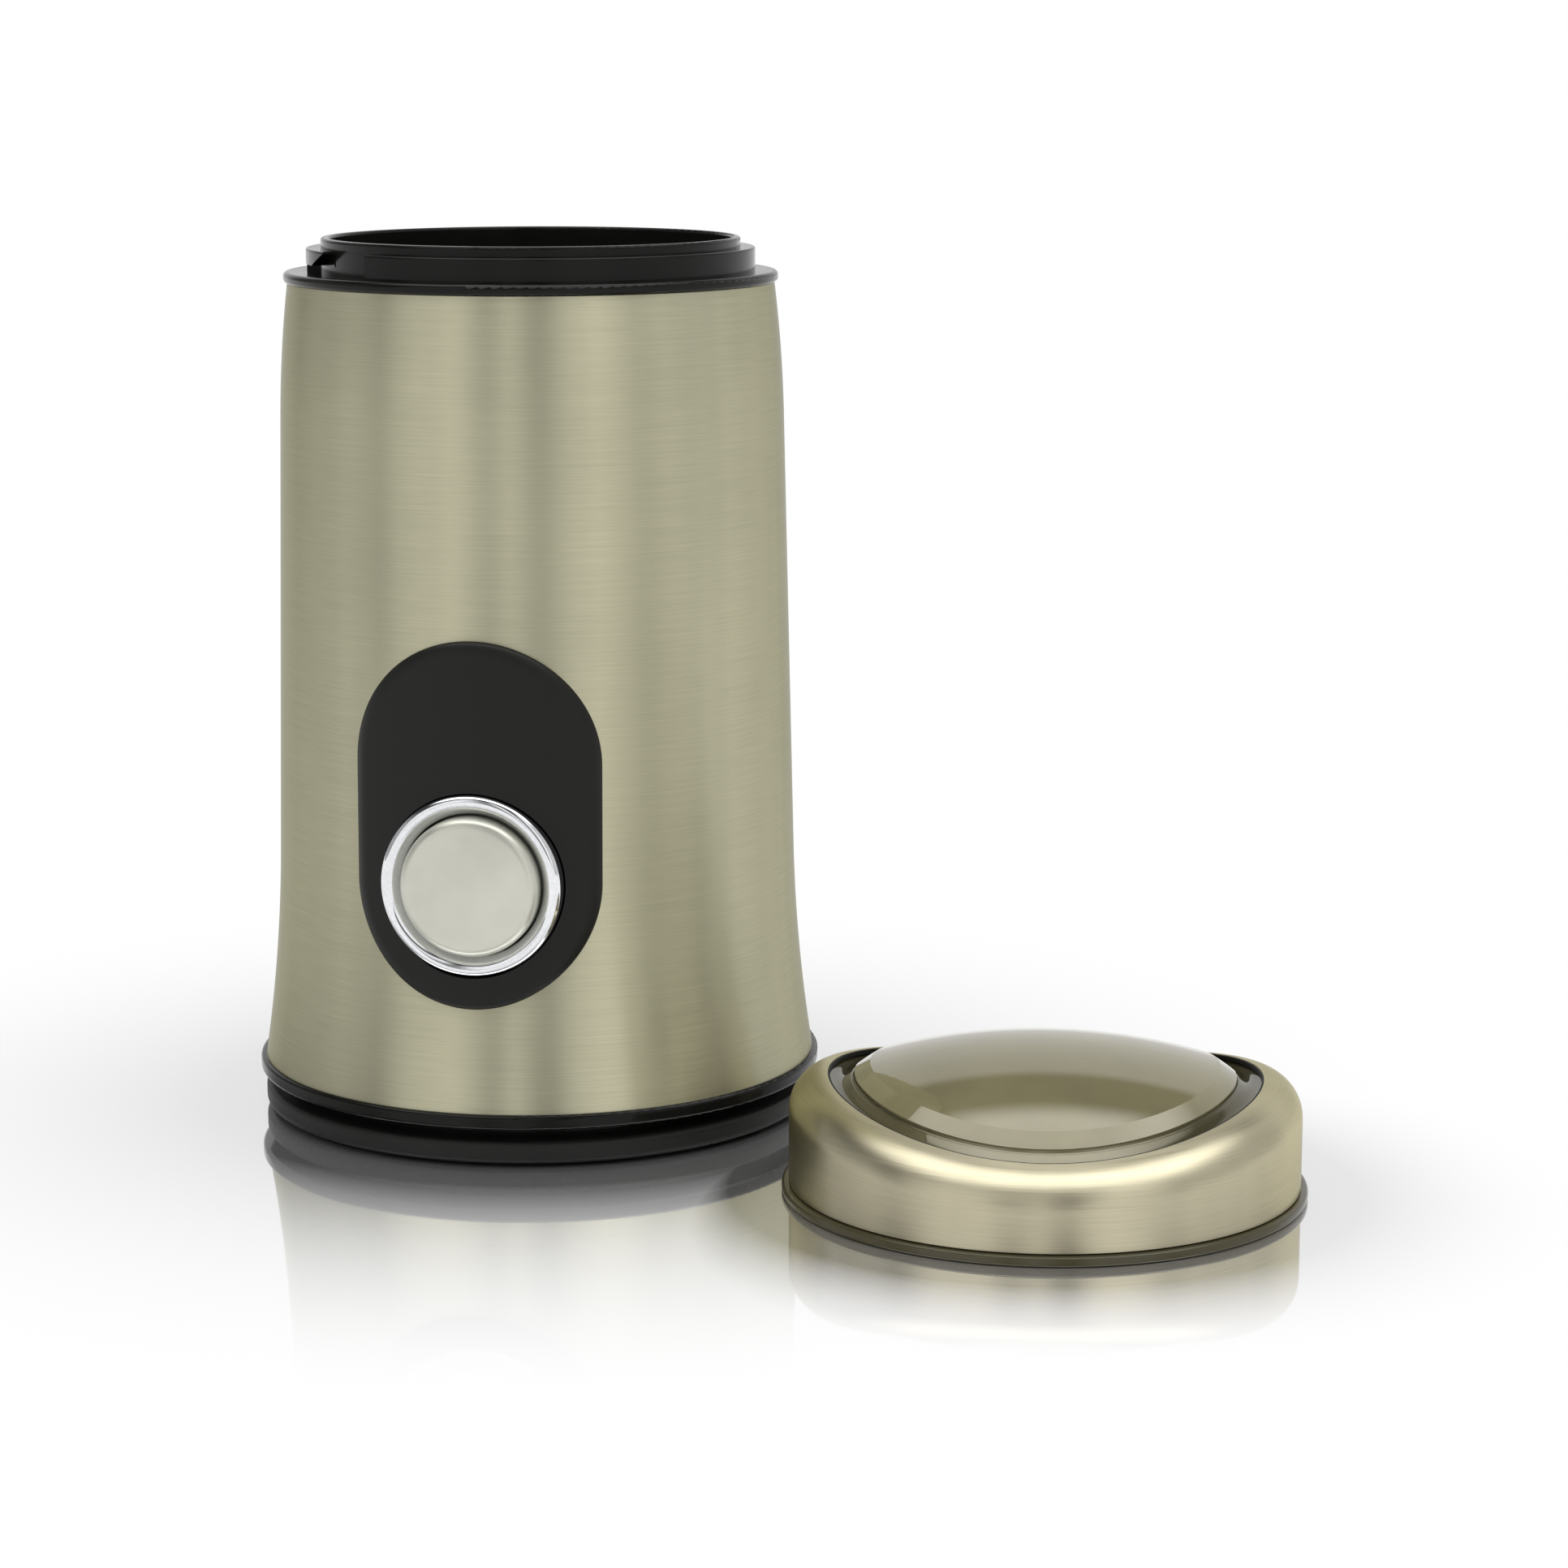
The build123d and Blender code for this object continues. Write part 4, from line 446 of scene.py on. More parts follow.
def handled(tree, vector):
    """Plain metal: fine pits, and soft patches of handling that change the gloss."""
    pits = noise(tree, vector, PIT_CELLS, detail=2.0)
    patch = noise(tree, vector, HANDLING_CELLS, detail=4.0)
    return times(tree, spread(tree, pits, *PIT_SHADE), spread(tree, patch, *HANDLING_SHADE)), patch, pits


EFFECT_INPUTS = {"Vector": "Vector", "Tint": "Color", "Smooth": "Float", "Rough": "Float"}
EFFECT_OUTPUTS = {"Color": "Color", "Roughness": "Float", "Height": "Float"}
PATTERNS = {
    "brushed": ("Hairline brushing", brushed),
    "moulded": ("Moulded skin", moulded),
    "metal": ("Handled metal", handled),
}
EFFECTS = {}


def effect_group(name, pattern):
    """Shader node group that makes colour, roughness and height of a vector, a tint and two ends of
    roughness. At the vector, the pattern gives the shade of the tint, the noise between the ends, and the
    height."""
    tree = bpy.data.node_groups.new(name, "ShaderNodeTree")
    for in_out, sockets in (("INPUT", EFFECT_INPUTS), ("OUTPUT", EFFECT_OUTPUTS)):
        for label, kind in sockets.items():
            tree.interface.new_socket(label, in_out=in_out, socket_type=f"NodeSocket{kind}")
    start, end = tree.nodes.new("NodeGroupInput").outputs, tree.nodes.new("NodeGroupOutput").inputs
    shade, gloss, height = pattern(tree, start["Vector"])
    feed(tree, end["Color"], scaled_colour(tree, start["Tint"], shade))
    feed(tree, end["Roughness"], spread(tree, gloss, start["Smooth"], start["Rough"]))
    feed(tree, end["Height"], height)
    return tree


def effect(kind):
    """The shared node group of that kind, built once."""
    if kind not in EFFECTS:
        EFFECTS[kind] = effect_group(*PATTERNS[kind])
    return EFFECTS[kind]


def new_material(name):
    """New material, its node tree and its Principled shader."""
    material = bpy.data.materials.new(name)
    material.use_nodes = True
    return material, material.node_tree, material.node_tree.nodes["Principled BSDF"]


def finish(name, kind, tint, smooth, rough, bump, coordinates="Object", scale=None, painted_side_shade=None, **constants):
    """Material with a shared effect on a Principled shader. constants are sockets that are the same all over.
    painted_side_shade is the share of the tint that painted shade takes away where a piece's attribute of it
    is whole; there the painted shade takes the coat away whole as well."""
    material, tree, shader = new_material(name)
    for label, value in constants.items():
        shader.inputs[label.replace("_", " ")].default_value = value
    place = tree.nodes.new("ShaderNodeTexCoord").outputs[coordinates]
    if scale is not None:
        place = stretched(tree, place, scale)
    values = {"Vector": place, "Tint": (*tint, 1.0), "Smooth": smooth, "Rough": rough}
    pattern = add(tree, "Group", values, node_tree=effect(kind)).outputs
    shown = pattern["Color"]
    if painted_side_shade is not None:
        # Painted shade: the tint darkens where the piece's attribute says, and the coat goes there
        mask = add(tree, "Attribute", {}, attribute_name=PAINTED_SIDE_SHADE).outputs["Fac"]
        shown = scaled_colour(tree, shown, less(tree, painted_side_shade, mask))
        coat = shader.inputs["Coat Weight"]
        feed(tree, coat, times(tree, less(tree, 1.0, mask), coat.default_value))
    relief = add(tree, "Bump", {"Strength": bump, "Distance": RELIEF, "Height": pattern["Height"]})
    feed(tree, shader.inputs["Base Color"], shown)
    feed(tree, shader.inputs["Roughness"], pattern["Roughness"])
    feed(tree, shader.inputs["Normal"], relief.outputs["Normal"])
    return material


def dress(material, *nodes):
    """Gives shown CAD nodes a finish."""
    for node in nodes:
        materials = NODES[node].data.materials
        materials.clear()
        materials.append(material)


# Body


def sleeve_profile(sizes, inset=0.0, flare_steps=40, taper_steps=78, shoulder_steps=24):
    """The sleeve's side line: an arc for the flared foot, a straight taper and an arc for the drawn-in
    top."""
    foot_r = sizes.sleeve_foot - inset
    waist_r = foot_r - sizes.sleeve_flare
    shoulder_r = waist_r - sizes.sleeve_taper
    waist = (waist_r, SLEEVE_LOW + sizes.flare_height)
    shoulder = (shoulder_r, SLEEVE_TOP - sizes.shoulder_height)
    taper = np.subtract(shoulder, waist)
    flare = tangent_arc(waist, -taper, (foot_r, SLEEVE_LOW), flare_steps)[::-1]
    straight = np.linspace(waist, shoulder, taper_steps)[1:-1]
    top = tangent_arc(shoulder, taper, (shoulder_r - sizes.sleeve_draw, SLEEVE_TOP), shoulder_steps)
    return np.vstack([flare, straight, top])


def sleeve_radius(sizes, z):
    """Radius of the sleeve at a height."""
    line = sleeve_profile(sizes)
    return np.interp(z, line[:, 1], line[:, 0])


def in_stadium(x, z, centre_z, half_width, half_spine):
    """True inside an upright stadium: nearer than half_width to its spine."""
    dz = np.maximum(np.abs(z - centre_z) - half_spine, 0.0)
    return np.hypot(x, dz) < half_width


class GRINDER_OT_sleeve(bpy.types.Operator):
    """Brushed steel sleeve with its window for the panel"""

    bl_idname = "grinder.sleeve"
    bl_label = "Sleeve"
    segments = 300
    inner_steps = (10, 4, 8)
    hidden_edge = 0.002

    def execute(self, context):
        sizes, colours = context.scene.grinder_sizes, context.scene.grinder_colours
        outer = sleeve_profile(sizes)
        inner = sleeve_profile(sizes, sizes.sleeve_wall, *self.inner_steps)[::-1]
        loop = closed(np.vstack([outer, inner]))
        grid = lathe(loop, self.segments)
        cells = (grid[:-1, :-1] + grid[1:, 1:]) / 2
        spine = (sizes.panel_height - sizes.panel_width) / 2
        window = in_stadium(
            cells[..., 0], cells[..., 2], BUTTON_Z + spine, sizes.panel_width / 2 - self.hidden_edge, spine
        )
        keep = ~(window & (cells[..., 1] < 0))
        piece = grid_object("sleeve", grid, wrap_uv(grid, 2 * np.pi * sizes.sleeve_foot), keep)
        steel = finish(
            "sleeve steel", "brushed", colours.steel, smooth=0.36, rough=0.41, bump=0.12, coordinates="UV",
            Metallic=1.0, Specular_Tint=EDGE_TINT, Anisotropic=0.95, Anisotropic_Rotation=0.25,
        )
        put(piece, "body", steel, "steel_sleeve")
        return {"FINISHED"}


class GRINDER_OT_shell(bpy.types.Operator):
    """Collar, base ring, foot plate and rubber pieces of the body"""

    bl_idname = "grinder.shell"
    bl_label = "Collar and base"
    rubber_black = (0.018, 0.018, 0.018)

    def execute(self, context):
        colours = context.scene.grinder_colours
        gloss = finish(
            "gloss black", "moulded", colours.gloss_black, smooth=0.1, rough=0.18, bump=0.02,
            Specular_IOR_Level=0.16,
        )
        plate = finish(
            "plate black", "moulded", colours.plate_black, smooth=0.42, rough=0.55, bump=0.35,
            Specular_IOR_Level=0.25,
        )
        rubber = finish("pad rubber", "moulded", self.rubber_black, smooth=0.6, rough=0.75, bump=0.3)
        dress(gloss, "top_collar", "base_ring")
        dress(plate, "foot_plate")
        dress(rubber, "foot_pad", "cord_gland")
        return {"FINISHED"}


# Control panel


def stadium_reach(angle, half_width, half_spine):
    """Distance from the lower arc's centre to a stadium's outline, by direction: the arc's radius below, the
    straight side beside, and the upper arc above."""
    c, s = np.cos(angle), np.sin(angle)
    side = half_width / np.maximum(np.abs(c), SMALL_COSINE)
    up = 2 * half_spine
    arc = up * s + np.sqrt(np.maximum(half_width**2 - (up * c) ** 2, 0.0))
    above = np.where(side * s > up, arc, side)
    return np.where(s <= 0, half_width, above)


def panel_grid(sizes, segments=240, face_rows=40):
    """The panel's skin in polar form about the button: from the side wall over the edge, a quarter of an
    ellipse, and inwards over the face, which follows the sleeve at a set height, to the wall of the button's
    well."""
    angle = np.linspace(0, 2 * np.pi, segments + 1)
    side, spine = sizes.panel_width / 2, (sizes.panel_height - sizes.panel_width) / 2
    well_r = sizes.bezel_radius + sizes.well_gap
    turn = np.linspace(0, np.pi / 2, ROUND_STEPS)
    insets = np.concatenate([[0.0], sizes.panel_edge * (1 - np.cos(turn))])
    drops = np.concatenate([[sizes.panel_depth], sizes.panel_round * (1 - np.sin(turn))])
    rims = stadium_reach(angle[:, None], side - insets, spine)
    share = np.linspace(0, 1, face_rows)[1:]
    face = rims[:, -1:] * (1 - share) + well_r * share
    well = np.full((segments + 1, 1), well_r)
    reach = np.hstack([rims, face, well])
    drop = np.concatenate([drops, np.zeros(len(share)), [sizes.well_depth]])
    x = reach * np.cos(angle)[:, None]
    z = BUTTON_Z + reach * np.sin(angle)[:, None]
    radius = sleeve_radius(sizes, z) + sizes.panel_proud - drop
    y = -np.sqrt(radius**2 - x**2)
    return np.stack([x, y, z], axis=-1)


def facing_front(grid):
    """Turns points from an upright axis to the button's axis: height becomes distance towards -Y."""
    return np.stack([grid[..., 0], -grid[..., 2], BUTTON_Z + grid[..., 1]], axis=-1)


class GRINDER_OT_panel(bpy.types.Operator):
    """Control panel with the bezel and the push button"""

    bl_idname = "grinder.panel"
    bl_label = "Panel and button"
    segments = 160

    def execute(self, context):
        sizes, colours = context.scene.grinder_sizes, context.scene.grinder_colours
        grid = panel_grid(sizes)
        panel = grid_object("panel", grid, grid[..., [0, 2]])
        matte = finish(
            "panel black", "moulded", colours.panel_black, smooth=0.42, rough=0.5, bump=0.12,
            Specular_IOR_Level=0.28,
        )
        put(panel, "body", matte, "control_panel")
        bezel = lathe_object("bezel", self.bezel(sizes), self.segments, facing_front)
        chrome = finish(
            "bezel chrome", "metal", colours.chrome, smooth=0.03, rough=0.07, bump=0.0, Metallic=1.0
        )
        put(bezel, "body", chrome, "button_bezel")
        cap = lathe_object("button", self.cap(sizes), self.segments, facing_front)
        silver = finish(
            "button silver", "moulded", colours.silver, smooth=0.34, rough=0.42, bump=0.04, Metallic=0.75
        )
        put(cap, "button", silver, "button_cap")
        return {"FINISHED"}

    def bezel(self, sizes):
        """Section of the bezel: a ring with a rounded front and a coned mouth."""
        front, back = -low("button_bezel", 1), -high("button_bezel", 1)
        mouth = sizes.bezel_radius - sizes.bezel_land
        bore = mouth - sizes.bezel_cone
        return outline(
            (bore, back),
            (sizes.bezel_radius, back),
            (sizes.bezel_radius, front, sizes.bezel_round),
            (mouth, front, sizes.bezel_crown),
            (bore, front - sizes.bezel_cone_depth, sizes.bezel_break),
        )

    def cap(self, sizes):
        """Section of the push button: a rounded cap, hollow from behind, with a stem on its axis."""
        front, stem_end = -low("button_cap", 1), -high("button_cap", 1)
        back = front - sizes.cap_height
        inside = front - sizes.cap_wall
        inner = sizes.cap_radius - sizes.cap_wall
        return outline(
            (0, stem_end),
            (sizes.stem_radius, stem_end),
            (sizes.stem_radius, inside),
            (inner, inside),
            (inner, back),
            (sizes.cap_radius, back),
            (sizes.cap_radius, front, sizes.cap_round),
            (0, front),
        )


# Lid


def in_lid_place(grid):
    """Turns the lid's points about Z and moves them to the lid's place on the table."""
    x, y = grid[..., 0], grid[..., 1]
    c, s = np.cos(LID_TURN), np.sin(LID_TURN)
    return np.stack([LID_X + c * x - s * y, LID_Y + s * x + c * y, grid[..., 2]], axis=-1)


def swing(first, last, steps):
    """Unit directions that swing evenly between two rows of unit directions: each is weighted by the sine of
    its part of the angle between them."""
    whole = np.arccos(np.clip((first * last).sum(-1), -1, 1))[:, None, None]
    t = np.linspace(0, 1, steps)[None, :, None]
    swung = np.sin((1 - t) * whole) * first[:, None] + np.sin(t * whole) * last[:, None]
    return swung / np.sin(whole)


def outwards(angle):
    """Level unit directions away from the lid's axis."""
    return polar(1.0, angle, 0.0)


def over_saddle(sizes, angle, radius, reach):
    """Points at a radius from the lid's axis and at a reach from the saddle's lying axis, and the saddle's
    normals there: height is the root of the reach squared less y squared, over that axis."""
    axis_z = sizes.band_crest - sizes.saddle_radius
    y = radius * np.sin(angle)
    rise = np.sqrt(reach**2 - y**2)
    normals = np.stack([np.zeros_like(y), y, rise], axis=-1) / reach
    return polar(radius, angle, axis_z + rise), normals


def rolled_edge(sizes, angle, inset, steps):
    """Round between the upright wall and the saddle, as a rolling ball leaves it: the ball's centre runs at
    its own radius under both, and the arc swings from the wall's normal to the saddle's normal. inset is how
    far the surface lies inside the band's outer face."""
    ball = sizes.band_round
    centre, crown = over_saddle(sizes, angle, sizes.band_radius - ball, sizes.saddle_radius - ball)
    return centre[:, None] + (ball - inset) * swing(outwards(angle), crown, steps)


def saddle_run(sizes, start, end, inset, steps, dip=0.0):
    """Rows on the saddle between two rows of points: straight in plan, at the saddle's height less half a
    sine wave of the dip."""
    t = np.linspace(0, 1, steps + 2)[None, 1:-1, None]
    plan = start[:, None, :2] * (1 - t) + end[:, None, :2] * t
    height = np.sqrt((sizes.saddle_radius - inset) ** 2 - plan[..., 1:] ** 2) - dip * np.sin(np.pi * t)
    return np.concatenate([plan, sizes.band_crest - sizes.saddle_radius + height], axis=-1)


def level_rings(angle, *corners):
    """Plain rings at (radius, height), each one a row of points round the lid's axis."""
    rings = np.array(corners)
    return polar(rings[None, :, 0], angle[:, None], rings[None, :, 1])


def opening_radius(sizes):
    """Radius of the band's opening."""
    return sizes.band_radius - sizes.band_round - sizes.band_land


def arc_over(half_width, sag):
    """Radius of an arc that sags by a height over half its width."""
    return (half_width**2 + sag**2) / (2 * sag)


class Dome:
    """The lid's crowned dome: an arch along X carried round a lying axis, so that its height is the crown
    less the sag of one arc along X and of another across it."""

    def __init__(self, sizes, cover_inset):
        self.sizes = sizes
        self.radius = opening_radius(sizes) - sizes.dome_inset
        saddle_reach = sizes.saddle_radius - cover_inset
        crest = sizes.band_crest - cover_inset
        side_z = crest + sizes.dome_step + sizes.dome_step_more
        front_z = crest - saddle_reach + np.sqrt(saddle_reach**2 - self.radius**2) + sizes.dome_step
        self.along = arc_over(self.radius, sizes.dome_top - side_z)
        self.across = arc_over(self.radius, sizes.dome_top - front_z)
        self.cover_inset = cover_inset

    def surface(self, plan, inset):
        """Points over a plan position on the dome shrunk by inset, and the dome's normals there."""
        x, y = plan[..., 0], plan[..., 1]
        arch = np.sqrt((self.along - inset) ** 2 - x**2)
        reach = self.across - self.along + arch
        rise = np.sqrt(reach**2 - y**2)
        points = np.stack([x, y, self.sizes.dome_top - self.across + rise], axis=-1)
        lean = arch / reach
        return points, np.stack([x, y * lean, rise * lean], axis=-1) / (self.along - inset)

    def foot(self, angle, steps):
        """Hollow round from the saddle to the dome's upright edge, as a rolling ball leaves it."""
        ball = self.sizes.dome_cove
        reach = self.sizes.saddle_radius - self.cover_inset + ball
        centre, crown = over_saddle(self.sizes, angle, self.radius + ball, reach)
        return centre[:, None] - ball * swing(crown, outwards(angle), steps)

    def bevel(self, angle):
        """Straight bevel from the dome's upright edge to its crown: it starts a set drop under the edge and
        ends a set width in along the crown's slope."""
        edge, normal = self.surface(polar(self.radius, angle, 0.0), 0.0)
        out, up = outwards(angle), np.array([0.0, 0.0, 1.0])
        slope = (normal * out).sum(-1, keepdims=True) * up - normal[:, 2:] * out
        slope /= np.linalg.norm(slope, axis=-1, keepdims=True)
        end = self.surface(edge + self.sizes.bevel_width * slope, 0.0)[0]
        return np.stack([edge - self.sizes.bevel_drop * up, end], axis=1)

    def crown(self, start, inset, steps):
        """Rows on the dome from a row of points in to its middle."""
        share = np.linspace(1, 0, steps + 1)[None, 1:, None]
        return self.surface(start[:, None, :2] * share, inset)[0]


class GRINDER_OT_lid(bpy.types.Operator):
    """Lid: the tinted cover with its dome, and the steel band round it"""

    bl_idname = "grinder.lid"
    bl_label = "Lid"
    segments = 288
    crisp_angle = np.radians(11.5)
    # Rows of points across each stretch of a section
    band_steps, lining_steps, land_steps = 14, 10, 2
    edge_steps, cove_steps, moat_steps, crown_steps = 12, 12, 14, 26
    inner_crown_steps, inner_saddle_steps = 16, 5
    # Bayonet tabs, in degrees
    tab_centres = (200.0, 20.0)
    tab_angle = 15.0
    tab_steps = 9
    # Cosines of the angle from the lid's side at which the painted shade on the hollow round the dome
    # begins and is whole
    side_shade_front = 0.25
    side_shade_whole = 0.75
    # Colour of painted shade for the shaded gap at the band's opening
    seam_shade_black = (0.006, 0.006, 0.005)

    def execute(self, context):
        sizes, colours = context.scene.grinder_sizes, context.scene.grinder_colours
        angle = np.linspace(0, 2 * np.pi, self.segments + 1)
        # The band's steel is a lighter copy of the sleeve's, with painted light
        steel = finish(
            "lit lid steel", "brushed", colours.lid_steel, smooth=0.3, rough=0.38, bump=0.12, coordinates="UV",
            Metallic=1.0, Specular_Tint=LIT_LID_EDGE_TINT, Anisotropic=0.7, Anisotropic_Rotation=0.25,
        )
        band = self.closed_ring("lid_steel_band", self.band(sizes, angle))
        put(band, "lid", steel, "lid_band")
        # Painted shade: a dark block on the cover where the gap between the band and the cover lies in shade
        dark = finish(
            "seam painted shade", "moulded", self.seam_shade_black, smooth=0.5, rough=0.6, bump=0.1, Specular_IOR_Level=0.2
        )
        seam = self.closed_ring("lid_seam_painted_shade", self.seam(sizes, angle))
        put(seam, "lid", dark, "lid_band", slot="seal_rubber")
        # The smoke cover's hollow round the dome takes painted shade towards the lid's sides
        smoke = finish(
            "smoke cover", "moulded", colours.smoke, smooth=0.03, rough=0.06, bump=0.0, painted_side_shade=0.7,
            Transmission_Weight=0.4, IOR=1.5, Specular_Tint=SMOKE_SHINE,
            Coat_Weight=0.5, Coat_IOR=1.9, Coat_Roughness=0.03,
        )
        cover = self.closed_ring("lid_smoke_cover", *self.cover(sizes, angle))
        put(cover, "lid", smoke, "lid_cover")
        # The lid's foot takes a darker, shaded copy of the smoke finish: painted shade
        shaded_foot_finish = finish(
            "smoke foot shaded", "moulded", colours.smoke_foot_shaded, smooth=0.08, rough=0.14, bump=0.0,
            Specular_IOR_Level=0.35,
        )
        put(self.closed_ring("lid_foot", self.foot(sizes, angle)), "lid", shaded_foot_finish, "lid_cover")
        for number, centre in enumerate(self.tab_centres):
            put(self.tab(f"lid_tab_{number}", sizes, np.radians(centre)), "lid", smoke, "lid_cover")
        return {"FINISHED"}

    def closed_ring(self, name, grid, pole=None, painted_side_shade=None):
        """Mesh of a closed ring of columns. pole is the column between two points on the axis, without
        faces."""
        grid = in_lid_place(np.concatenate([grid, grid[:, :1]], axis=1))
        if painted_side_shade is not None:
            painted_side_shade = np.concatenate([painted_side_shade, painted_side_shade[:, :1]], axis=1)
        keep = np.ones((grid.shape[0] - 1, grid.shape[1] - 1), bool)
        if pole is not None:
            keep[:, pole] = False
        reach = np.ptp(grid[..., 0]) / 2
        return grid_object(name, grid, wrap_uv(grid, 2 * np.pi * reach), keep, self.crisp_angle, painted_side_shade)

    def band(self, sizes, angle):
        """Section of the band at each angle: outer wall, rolled edge, top, and the same again inside."""
        opening = level_rings(angle, (opening_radius(sizes), 0.0))[:, 0]
        outer = rolled_edge(sizes, angle, 0.0, self.band_steps)
        inner = rolled_edge(sizes, angle, sizes.band_wall, self.lining_steps)
        foot = sizes.lid_flange_height + sizes.band_lift
        inner_r = sizes.band_radius - sizes.band_wall
        outer_top = self.ending(sizes, outer[:, -1], opening, 0.0)
        inner_top = self.ending(sizes, inner[:, -1], opening, sizes.band_wall)
        return np.concatenate([
            level_rings(angle, (inner_r, foot), (sizes.band_radius, foot)), outer, outer_top,
            inner_top[:, ::-1], inner[:, ::-1],
        ], axis=1)

    def seam(self, sizes, angle):
        """Section of the seam at each angle: a narrow block on the cover, against the band's edge, that
        carries painted shade for the shaded gap there.
        """
        outer = opening_radius(sizes)
        inner = outer - sizes.seam_width
        low_inset, high_inset = sizes.band_wall + sizes.cover_gap, sizes.seam_drop
        corners = (inner, low_inset), (outer, low_inset), (outer, high_inset), (inner, high_inset)
        rings = [over_saddle(sizes, angle, r, sizes.saddle_radius - inset)[0] for r, inset in corners]
        return np.stack(rings, axis=1)

    def ending(self, sizes, start, end, inset):
        """The last rows of the band's top, up to its opening."""
        rows = saddle_run(sizes, start, end, inset, self.land_steps)
        last = saddle_run(sizes, end, end, inset, 1)
        return np.concatenate([rows, last], axis=1)

    def cover(self, sizes, angle):
        """Section of the cover at each angle: skirt, rolled edge, saddle and dome, then the same from inside.
        Also gives the column at which it crosses the axis, and the painted shade of the hollow round the
        dome, which grows from the front and back towards the sides as a smooth step of the cosine of the
        angle."""
        inset = sizes.band_wall + sizes.cover_gap
        inside = inset + sizes.cover_wall
        bore = sizes.band_radius - inside
        dome = Dome(sizes, inset)
        foot = (bore, 0.0), (sizes.band_radius - inset, 0.0)
        edge = rolled_edge(sizes, angle, inset, self.edge_steps)
        cove = dome.foot(angle, self.cove_steps)
        bevel = dome.bevel(angle)
        moat = saddle_run(sizes, edge[:, -1], cove[:, 0], inset, self.moat_steps, sizes.moat_dip)
        crown = dome.crown(bevel[:, -1], 0.0, self.crown_steps)
        outer = [level_rings(angle, *foot), edge, moat, cove, bevel, crown]
        inner_rim = level_rings(angle, (dome.radius - sizes.cover_wall, 0.0))[:, 0]
        inner_crown = dome.surface(inner_rim, sizes.cover_wall)[0][:, None]
        inner_foot = saddle_run(sizes, inner_rim, inner_rim, inside, 1)
        inner_edge = rolled_edge(sizes, angle, inside, self.edge_steps)
        inner = [
            dome.crown(inner_rim, sizes.cover_wall, self.inner_crown_steps)[:, ::-1],
            inner_crown,
            inner_foot,
            saddle_run(sizes, inner_rim, inner_edge[:, -1], inside, self.inner_saddle_steps),
            inner_edge[:, ::-1],
        ]
        pole = sum(part.shape[1] for part in outer) - 1
        grid = np.concatenate(outer + inner, axis=1)
        first = len(foot) + edge.shape[1] - 1
        # Painted shade on the hollow round the dome, from none at the front and back to whole at the sides
        sideways = (np.abs(np.cos(angle)) - self.side_shade_front) / (self.side_shade_whole - self.side_shade_front)
        sideways = np.clip(sideways, 0, 1)
        painted_side_shade = np.zeros(grid.shape[:2])
        painted_side_shade[:, first:first + moat.shape[1] + cove.shape[1]] = (sideways**2 * (3 - 2 * sideways))[:, None]
        return grid, pole, painted_side_shade

    def foot(self, sizes, angle):
        """Section of the cover's foot at each angle: a flat ring with a rounded edge."""
        skirt = sizes.band_radius - sizes.band_wall - sizes.cover_gap
        return level_rings(angle, *outline(
            (skirt, 0.0),
            (sizes.lid_flange, 0.0, sizes.lid_flange_round),
            (sizes.lid_flange, sizes.lid_flange_height, sizes.lid_flange_round),
            (skirt, sizes.lid_flange_height),
        ))

    def tab(self, name, sizes, centre):
        """Bayonet tab: a flat block bent round the lid's axis, closed at both ends."""
        outer = sizes.band_radius - sizes.band_wall - sizes.cover_gap - sizes.cover_wall
        top = sizes.tab_low + sizes.tab_thick
        section = closed(np.array([
            (sizes.tab_inner, sizes.tab_low), (outer, sizes.tab_low), (outer, top), (sizes.tab_inner, top),
        ]))
        heart = np.broadcast_to(section[:-1].mean(0), section.shape)
        reach = np.radians(self.tab_angle) / 2
        turn = centre + np.linspace(-reach, reach, self.tab_steps)
        rows = polar(section[None, :, 0], turn[:, None], section[None, :, 1])
        ends = polar(heart[None, :, 0], turn[[0, -1], None], heart[None, :, 1])
        grid = in_lid_place(np.concatenate([ends[:1], rows, ends[1:]]))
        return grid_object(name, grid, wrap_uv(grid, 2 * reach * outer))


# Inside


def coil(spring, material):
    """Copy of a CAD spring, in the body with a finish, in place of the spring's node."""
    node, letter = spring["node"], spring["mode"][-1]
    mesh = NODES[node].data.copy()
    mesh.transform(NODES[node].matrix_world)
    piece = bpy.data.objects.new(node.replace("spring", "coil"), mesh)
    bpy.context.scene.collection.objects.link(piece)
    put(piece, "body", material, node)
    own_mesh(piece)


